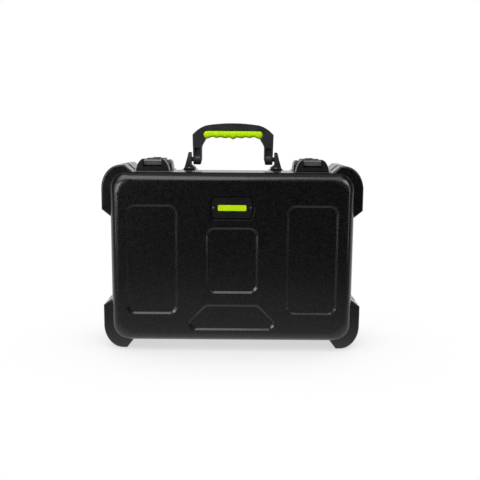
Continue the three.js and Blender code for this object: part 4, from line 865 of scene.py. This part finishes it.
def grip_under(x, low):
    """How high the grip's underside lies: finger hollows, and a keel in the middle."""
    arch = GRIP_ARCH * ease((GRIP_FLAT - x) / GRIP_ARCH_RUN)
    sag = GRIP_SAG * (GRIP_FLAT - x) / GRIP_FLAT
    in_fingers = x < (GRIP_FINGERS - 0.5) * FINGER_PITCH / 2
    wave = GRIP_WAVE * math.cos(2 * math.pi * x / FINGER_PITCH) if in_fingers else 0
    keel = GRIP_KEEL * (1 - ease(2 * x / FINGER_PITCH))
    return low + arch - sag - wave - keel


def grip_outline(name, grow, y):
    low, high = GRIP_LOW - grow, GRIP_HIGH + grow
    middle, rise = (low + high) / 2, (high - low) / 2
    right = [(0, grip_under(0, low))]
    for step in range(1, GRIP_STEPS // 2):
        x = GRIP_FLAT * step / (GRIP_STEPS // 2)
        right.append((x, grip_under(x, low)))
    for step in range(GRIP_END_STEPS + 1):
        turn = math.pi * (step / GRIP_END_STEPS - 0.5)
        x = GRIP_FLAT + (GRIP_END_IN + grow) * math.cos(turn)
        right.append((x, middle + rise * math.sin(turn)))
    return traced(name, above_pivot(mirrored(right)), y)


def handle_bow():
    near, far = PIVOT.y - HANDLE_HALF_DEPTH, PIVOT.y + HANDLE_HALF_DEPTH
    bow = build_up(bow_outline(near), [(near, 0), (far, 0)])
    room = grip_outline("room", SEAT, near - OVERRUN)
    build_up(room, [(near - OVERRUN, 0), (far + OVERRUN, 0)])
    combine(bow, [bow_opening(near, far), room], "DIFFERENCE")
    clean(bow)
    edit(bow)
    foot = PIVOT.z - HUB_RADIUS
    choose("EDGE", lambda edge: lies_at(edge, Z, foot) and runs_along(edge, X))
    bpy.ops.mesh.bevel(offset=HUB_RADIUS, segments=FOOT_STEPS, affect="EDGES", clamp_overlap=False)
    leave()
    round_edges(bow, HANDLE_ROUND, sharper_than=HANDLE_SHARP)
    core = block(
        "core",
        (-GRIP_HALF, PIVOT.y - CORE_HALF_DEPTH, PIVOT.z + CORE_RISE),
        (GRIP_HALF, PIVOT.y + CORE_HALF_DEPTH, PIVOT.z + GRIP_HIGH + OVERRUN),
    )
    combine(bow, [core], "UNION")
    pockets, bosses, bores = [], [], []
    for sign in (-1, 1):
        pockets.extend(leg_pocket(sign, way) for way in (-1, 1))
        ends = sorted((sign * (POCKET_IN - SEAT), sign * (POCKET_OUT + SEAT)))
        bosses.append(rod("boss", BOSS_RADIUS, X, PIVOT, *ends, BOSS_SIDES))
        ends = sorted((sign * (HANDLE_FOOT_HALF - PIVOT_IN_LEG), sign * CASE_HALF))
        bores.append(rod("bore", PIVOT_BORE, X, PIVOT, *ends))
    combine(bow, pockets, "DIFFERENCE")
    combine(bow, bosses, "UNION")
    combine(bow, bores, "DIFFERENCE")
    clean(bow)
    smooth(bow, SMOOTH_HARDWARE)
    return bow


def leg_pocket(sign, way):
    edges = sorted((sign * POCKET_IN, sign * POCKET_OUT))
    face = PIVOT.y + way * HANDLE_HALF_DEPTH
    low, high = (edges[0], PIVOT.z + POCKET_LOW), (edges[1], PIVOT.z + POCKET_HIGH)
    tool = sheet_outline("pocket", low, high, face)
    round_corners(tool, POCKET_RADIUS, POCKET_CORNER_STEPS)
    return build_up(tool, lipped_profile(face, -way, POCKET_LIP, POCKET_DEPTH))


def finger_grip():
    near, far = PIVOT.y - GRIP_HALF_DEPTH, PIVOT.y + GRIP_HALF_DEPTH
    grip = grip_outline("grip", 0, near)
    centre = Vector((0, near, PIVOT.z + GRIP_HIGH - GRIP_ROUND))
    build_up(grip, pillow_profile(near, far, GRIP_ROUND, GRIP_ROUND_STEPS), centre)
    slot = block(
        "slot",
        (-CASE_HALF, PIVOT.y - CORE_HALF_DEPTH - SEAT, PIVOT.z + CORE_RISE - SEAT),
        (CASE_HALF, PIVOT.y + CORE_HALF_DEPTH + SEAT, PIVOT.z + CASE_TOP),
    )
    combine(grip, [slot], "DIFFERENCE")
    smooth(grip, SMOOTH_GRIP)
    return grip


# Badge
def badge_face():
    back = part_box("badge_plate")[1].y
    front = back - BADGE_THICKNESS
    plate = barrel_outline("badge", BADGE_MARGIN, back)
    build_up(plate, [
        (back, 0),
        (front + BADGE_EDGE, 0),
        (front, -BADGE_EDGE),
        (front, -BADGE_RIM),
        (front + BADGE_SINK, -BADGE_RIM - BADGE_EDGE),
    ])
    holes = []
    for side in ("left", "right"):
        low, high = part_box(f"badge_pin_{side}")
        place = ((low.x + high.x) / 2, 0, BADGE_MIDDLE)
        ends = (front - OVERRUN, back + OVERRUN)
        holes.append(rod("hole", BADGE_HOLE_RADIUS, Y, place, *ends))
    combine(plate, holes, "DIFFERENCE")
    smooth(plate)
    return plate


def badge_bar():
    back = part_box("badge_plate")[0].y + BADGE_SINK
    low = (-BAR_HALF, BADGE_MIDDLE - BAR_HALF_HEIGHT)
    high = (BAR_HALF, BADGE_MIDDLE + BAR_HALF_HEIGHT)
    bar = sheet_outline("bar", low, high, back)
    round_corners(bar, BAR_RADIUS, BAR_CORNER_STEPS)
    front = back - BADGE_SINK
    build_up(bar, [(back, 0), (front + BAR_EDGE, 0), (front, -BAR_EDGE)])
    smooth(bar)
    return bar


# Foam
def foam_block(name, front, back):
    inset = FOAM_GAP + BASE_DRAFT * (back - PARTING_Y) / (BACK_Y - PARTING_Y)
    return build_up(rim_outline(name, inset, front), pillow_profile(front, back, FOAM_ROUND))


def slot_profile():
    """Straight through the insert, opening in a soft lip that cuts its front face at a slant."""
    lip = FOAM_ROUND
    pairs = [(INSERT_BACK + OVERRUN, 0)]
    for step in range(SLOT_LIP_STEPS):
        angle = math.pi / 2 * step / SLOT_LIP_STEPS
        pairs.append((INSERT_FRONT + lip * (1 - math.sin(angle)), lip * (1 - math.cos(angle))))
    return [*pairs, (INSERT_FRONT - OVERRUN, 2 * lip)]


def slot_tool(index):
    """One microphone's slot: a narrow body and a wider head, turned round from slot to slot."""
    middle = (index - (SLOT_COUNT - 1) / 2) * SLOT_PITCH
    head_up = 1 if index % 2 == 0 else -1
    shoulder = SLOT_HALF_LENGTH - SLOT_HEAD_LENGTH
    right = [
        (SLOT_BODY_HALF, -SLOT_HALF_LENGTH),
        (SLOT_BODY_HALF, shoulder - SLOT_SHOULDER),
        (SLOT_HEAD_HALF, shoulder),
        (SLOT_HEAD_HALF, SLOT_HALF_LENGTH),
    ]
    points = [(middle + x, RIM_MIDDLE + head_up * z) for x, z in mirrored(right)]
    tool = traced("slot", points, INSERT_BACK)

    def is_end(vert):
        return abs(abs(vert.co.z - RIM_MIDDLE) - SLOT_HALF_LENGTH) < TOUCH

    round_corners(tool, SLOT_SHOULDER_ROUND, SLOT_SHOULDER_STEPS, lambda vert: not is_end(vert))
    round_corners(tool, SLOT_RADIUS, SLOT_CORNER_STEPS, is_end)
    return build_up(tool, slot_profile())


def foam_insert():
    insert = foam_block("insert", INSERT_FRONT, INSERT_BACK)
    combine(insert, [slot_tool(index) for index in range(SLOT_COUNT)], "DIFFERENCE")
    smooth(insert, SMOOTH_FOAM)
    return insert


def foam_waves():
    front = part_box("lid_foam")[0].y
    half = RIM_HALF - LID_FOAM_INSET
    low, high = RIM_LOW + LID_FOAM_INSET, RIM_HIGH - LID_FOAM_INSET
    bpy.ops.object.select_all(action="DESELECT")
    bpy.ops.mesh.primitive_grid_add(
        x_subdivisions=WAVE_COLUMNS * WAVE_STEPS // 2, y_subdivisions=WAVE_ROWS * WAVE_STEPS // 2,
        size=1, location=(0, front, (low + high) / 2), rotation=(math.pi / 2, 0, 0),
    )
    waves = bpy.context.object
    waves.scale = (2 * half, high - low, 1)
    bpy.ops.object.transform_apply(location=True, rotation=True, scale=True)
    edit(waves)
    bpy.ops.mesh.select_all(action="SELECT")
    bpy.ops.mesh.extrude_region_move(TRANSFORM_OT_translate={"value": (0, LID_FOAM_SHEET, 0)})
    form = bmesh.from_edit_mesh(waves.data)
    for vert in form.verts:
        if vert.co.y > front + LID_FOAM_SHEET / 2:
            column = (vert.co.x + half) / (2 * half) * WAVE_COLUMNS * math.pi / 2
            row = (vert.co.z - low) / (high - low) * WAVE_ROWS * math.pi / 2
            vert.co.y += LID_FOAM_WAVE * math.sin(column) * math.sin(row)
    bmesh.update_edit_mesh(waves.data)
    bpy.ops.mesh.select_all(action="SELECT")
    bpy.ops.mesh.normals_make_consistent(inside=False)
    leave()
    corners = rim_outline("corners", LID_FOAM_INSET, front)
    build_up(corners, [(front - OVERRUN, 0), (PARTING_Y + OVERRUN, 0)])
    combine(waves, [corners], "INTERSECT")
    smooth(waves, SMOOTH_WAVES)
    return waves


# Hardware that keeps its CAD form: its edges are broken and its faces smoothed
def softened(node, width):
    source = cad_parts[node]
    piece = bpy.data.objects.new(f"{node}_soft", source.data.copy())
    bpy.context.scene.collection.objects.link(piece)
    clean(piece)
    round_edges(piece, width, HARDWARE_STEPS, HARDWARE_SHARP)
    smooth(piece, SMOOTH_HARDWARE)
    return piece


def rivet_head(node, upward):
    low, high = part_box(node)
    middle = (low + high) / 2
    top = high.z if upward > 0 else low.z
    bpy.ops.object.select_all(action="DESELECT")
    bpy.ops.mesh.primitive_uv_sphere_add(
        segments=RIVET_SEGMENTS, ring_count=RIVET_RINGS, radius=RIVET_HEAD
    )
    piece = bpy.context.object
    piece.scale = (1, 1, RIVET_RISE / RIVET_HEAD)
    bpy.ops.object.transform_apply(location=True, rotation=True, scale=True)
    trim(piece, (0, 0, 0), (0, 0, -1), True)
    edit(piece)
    choose("FACE", lambda face: lies_at(face, Z, 0))
    bpy.ops.mesh.inset(thickness=RIVET_HEAD - RIVET_SHANK)
    bpy.ops.mesh.extrude_region_move(TRANSFORM_OT_translate={"value": (0, 0, -RIVET_SHANK_LENGTH)})
    bpy.ops.mesh.select_all(action="SELECT")
    if upward < 0:
        bpy.ops.transform.resize(value=(1, 1, -1), center_override=(0, 0, 0))
        bpy.ops.mesh.normals_make_consistent(inside=False)
    bpy.ops.transform.translate(value=(middle.x, middle.y, top - upward * RIVET_RISE))
    leave()
    smooth(piece, SMOOTH_HARDWARE)
    return piece


# Light and surroundings
def combined(nodes, links, operation, first, second):
    node = nodes.new("ShaderNodeMath")
    node.operation = operation
    links.new(first, node.inputs[0])
    links.new(second, node.inputs[1])
    return node.outputs[0]


def mixed(nodes, links, share, first, second):
    node = nodes.new("ShaderNodeMixShader")
    links.new(share, node.inputs["Fac"])
    links.new(first, node.inputs[1])
    links.new(second, node.inputs[2])
    return node.outputs[0]


def ramp_between(nodes, links, value, start, end, low, high):
    node = nodes.new("ShaderNodeMapRange")
    node.interpolation_type = "SMOOTHSTEP"
    set_range(node, start, end, low, high)
    links.new(value, node.inputs["Value"])
    return node.outputs["Result"]


def set_stage():
    """A pale floor. The camera sees it as clear white, because the open lid hangs below it,
    with a painted soft shadow of the case from ambient occlusion."""
    bpy.ops.object.select_all(action="DESELECT")
    bpy.ops.mesh.primitive_plane_add(size=FLOOR_SIZE, location=(0, 0, -FLOOR_DROP))
    floor = bpy.context.object
    floor.name = "floor"
    material = bpy.data.materials.new("floor_white")
    material.use_nodes = True
    nodes, links = material.node_tree.nodes, material.node_tree.links
    path = nodes.new("ShaderNodeLightPath").outputs
    paper = nodes["Principled BSDF"]
    paper.inputs["Roughness"].default_value = FLOOR_ROUGHNESS
    paper.inputs["Specular IOR Level"].default_value = FLOOR_SPECULAR
    paper.inputs["Emission Color"].default_value = (1, 1, 1, 1)
    place = nodes.new("ShaderNodeTexCoord")
    parts = nodes.new("ShaderNodeSeparateXYZ")
    links.new(place.outputs["Object"], parts.inputs[0])
    behind = ramp_between(nodes, links, parts.outputs["Y"], *WHITE_FROM, 0.0, 1.0)
    distance = nodes.new("ShaderNodeVectorMath")
    distance.operation = "LENGTH"
    links.new(place.outputs["Object"], distance.inputs[0])
    away = distance.outputs["Value"]
    # Base colour darker away from the case: painted falloff of the light on the floor
    painted_falloff = ramp_between(nodes, links, away, *FLOOR_FALLOFF_SPAN, FLOOR_NEAR, FLOOR_FAR)
    links.new(painted_falloff, paper.inputs["Base Color"])
    shine = combined(nodes, links, "MAXIMUM", path["Is Glossy Ray"], path["Is Transmission Ray"])
    links.new(combined(nodes, links, "MULTIPLY", shine, behind), paper.inputs["Emission Strength"])
    # For the camera the floor is clear, with a painted shadow: black where ambient occlusion finds
    # the case near
    clear = nodes.new("ShaderNodeBsdfTransparent").outputs[0]
    shadow = nodes.new("ShaderNodeEmission")
    shadow.inputs["Strength"].default_value = 0
    occlusion_for_shadow = nodes.new("ShaderNodeAmbientOcclusion")
    occlusion_for_shadow.inputs["Distance"].default_value = SHADOW_REACH
    light = ramp_between(nodes, links, occlusion_for_shadow.outputs["AO"], 0.0, 1.0, 1 - SHADOW_DEPTH, 1.0)
    seen = mixed(nodes, links, light, shadow.outputs[0], clear)
    solid = mixed(nodes, links, path["Is Shadow Ray"], paper.outputs[0], clear)
    surface = mixed(nodes, links, path["Is Camera Ray"], solid, seen)
    links.new(surface, nodes["Material Output"].inputs["Surface"])
    floor.data.materials.append(material)


def set_world():
    """White behind the case, also in its reflections, and a dim studio round the camera."""
    world = bpy.data.worlds.new("studio")
    bpy.context.scene.world = world
    world.use_nodes = True
    nodes, links = world.node_tree.nodes, world.node_tree.links
    path = nodes.new("ShaderNodeLightPath").outputs
    way = nodes.new("ShaderNodeTexCoord")
    parts = nodes.new("ShaderNodeSeparateXYZ")
    links.new(way.outputs["Generated"], parts.inputs[0])
    behind = ramp_between(nodes, links, parts.outputs["Y"], *WALL_SIDES, 0.0, 1.0)
    low_down = ramp_between(nodes, links, parts.outputs["Z"], *WALL_TOP, 1.0, 0.0)
    wall = combined(nodes, links, "MULTIPLY", behind, low_down)
    up = parts.outputs["Z"]
    ceiling = ramp_between(nodes, links, up, *CEILING_EDGE, STUDIO_DIM, STUDIO_CEILING)
    backdrop = combined(nodes, links, "MAXIMUM", wall, ceiling)
    fill = nodes["Background"]
    fill.inputs["Strength"].default_value = STUDIO_FILL
    mirrored, white = nodes.new("ShaderNodeBackground"), nodes.new("ShaderNodeBackground")
    links.new(backdrop, mirrored.inputs["Strength"])
    for light in (fill, mirrored, white):
        light.inputs["Color"].default_value = (1, 1, 1, 1)
    shine = combined(nodes, links, "MAXIMUM", path["Is Glossy Ray"], path["Is Transmission Ray"])
    in_shine = mixed(nodes, links, shine, fill.outputs[0], mirrored.outputs[0])
    seen = mixed(nodes, links, path["Is Camera Ray"], in_shine, white.outputs[0])
    links.new(seen, nodes["World Output"].inputs["Surface"])


def add_softbox(name, place, width, height, power, spread):
    data = bpy.data.lights.new(name, "AREA")
    data.spread = math.radians(spread)
    data.shape = "RECTANGLE"
    data.size = width
    data.size_y = height
    data.energy = power
    lamp = bpy.data.objects.new(name, data)
    bpy.context.scene.collection.objects.link(lamp)
    lamp.location = place
    lamp.rotation_euler = (LIGHT_TARGET - Vector(place)).to_track_quat("-Z", "Y").to_euler()


set_camera()
black, lime = moulded_black(), lime_rubber()
nylon = satin_nylon("bow_nylon", (0.016, 0.0148, 0.0190), (0.024, 0.0220, 0.0285))
bracket_nylon = satin_nylon("bracket_nylon", (0.0035, 0.0034, 0.0040), (0.0060, 0.0058, 0.0068))
coat, nickel, frame_black, steel = powder_coat(), dark_nickel(), anodised(), plated_steel()
enamel, bar_lime, rubber, foam = badge_enamel(), lime_enamel(), matt_rubber(), open_foam()

# Shells
LID_DEPTH, BASE_DEPTH = PARTING_Y - FRONT_Y, BACK_Y - PARTING_Y
lid_recesses = [
    *side_panels(FRONT_Y, 1),
    panel_tool(*MID_PANEL, PANEL_RADIUS, FRONT_Y, 1),
    sill_tool(FRONT_Y, 1),
    badge_tool(FRONT_Y, 1),
]
lid = shell("lid", -1, LID_DEPTH, LID_DRAFT, lid_recesses)
hand_over(lid, "lid_moulding", "lid", black, ["lid_shell"])
base_recesses = [*side_panels(BACK_Y, -1), panel_tool(*BACK_PANEL, PANEL_RADIUS, BACK_Y, -1)]
base = shell("base", 1, BASE_DEPTH, BASE_DRAFT, base_recesses)
hand_over(base, "base_moulding", "base", black, ["base_shell"])

# Handle
hand_over(handle_bow(), "handle_moulding", "handle", nylon, ["handle_bow"])
hand_over(finger_grip(), "finger_grip", "handle", lime, ["handle_grip"])

# Badge
hand_over(badge_face(), "badge_face", "lid", enamel, ["badge_plate"])
hand_over(badge_bar(), "badge_bar", "lid", bar_lime)

# Foam
pad = foam_block("pad", PAD_FRONT, PAD_BACK)
smooth(pad, SMOOTH_FOAM)
for piece, name, body, node in (
    (pad, "foam_pad", "base", "base_foam_pad"),
    (foam_insert(), "foam_insert", "base", "base_foam_insert"),
    (foam_waves(), "foam_waves", "lid", "lid_foam"),
):
    hand_over(piece, name, body, foam, [node])

# Hardware, with the width of its broken edges
for side in ("left", "right"):
    for part, body, slot, material, width in (
        ("latch_keeper", "lid", "latch_metal", coat, 0.0008),
        ("latch_housing", "base", "latch_metal", coat, 0.0009),
        ("latch_lever", f"lever_{side}", "latch_metal", coat, 0.0006),
        ("latch_hook", f"hook_{side}", "hook_metal", nickel, 0.0005),
        ("handle_bracket", "base", "handle_plastic", bracket_nylon, 0.0010),
        ("hinge_leaf_base", "base", "latch_metal", coat, 0.0003),
        ("hinge_leaf_lid", "lid", "latch_metal", coat, 0.0003),
        ("key_lock", f"lock_{side}", "steel", steel, 0.0003),
    ):
        node = f"{part}_{side}"
        hand_over(softened(node, width), f"{node}_finished", body, material, [node])

for node in list(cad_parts):
    if "_rivet_" in node:
        on_lid = node.startswith(("latch_keeper", "hinge_rivet_lid"))
        body = "lid" if on_lid else "base"
        upward = -1 if node.startswith("hinge") else 1
        hand_over(rivet_head(node, upward), f"{node}_head", body, steel, [node])

# CAD nodes that stay, with their finish
carried = {
    "lid_frame": frame_black,
    "base_frame": frame_black,
    "lid_seal": rubber,
}
for side in ("left", "right"):
    carried[f"badge_pin_{side}"] = steel
    carried[f"hinge_pin_{side}"] = steel
    carried[f"handle_pivot_{side}"] = bracket_nylon
    carried[f"lever_pin_{side}"] = steel
    carried[f"hook_pin_{side}"] = steel
for node, material in carried.items():
    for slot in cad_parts[node].material_slots:
        slot.material = material

set_stage()
set_world()
for softbox in SOFTBOXES:
    add_softbox(*softbox)
bpy.context.scene.view_settings.view_transform = "Standard"
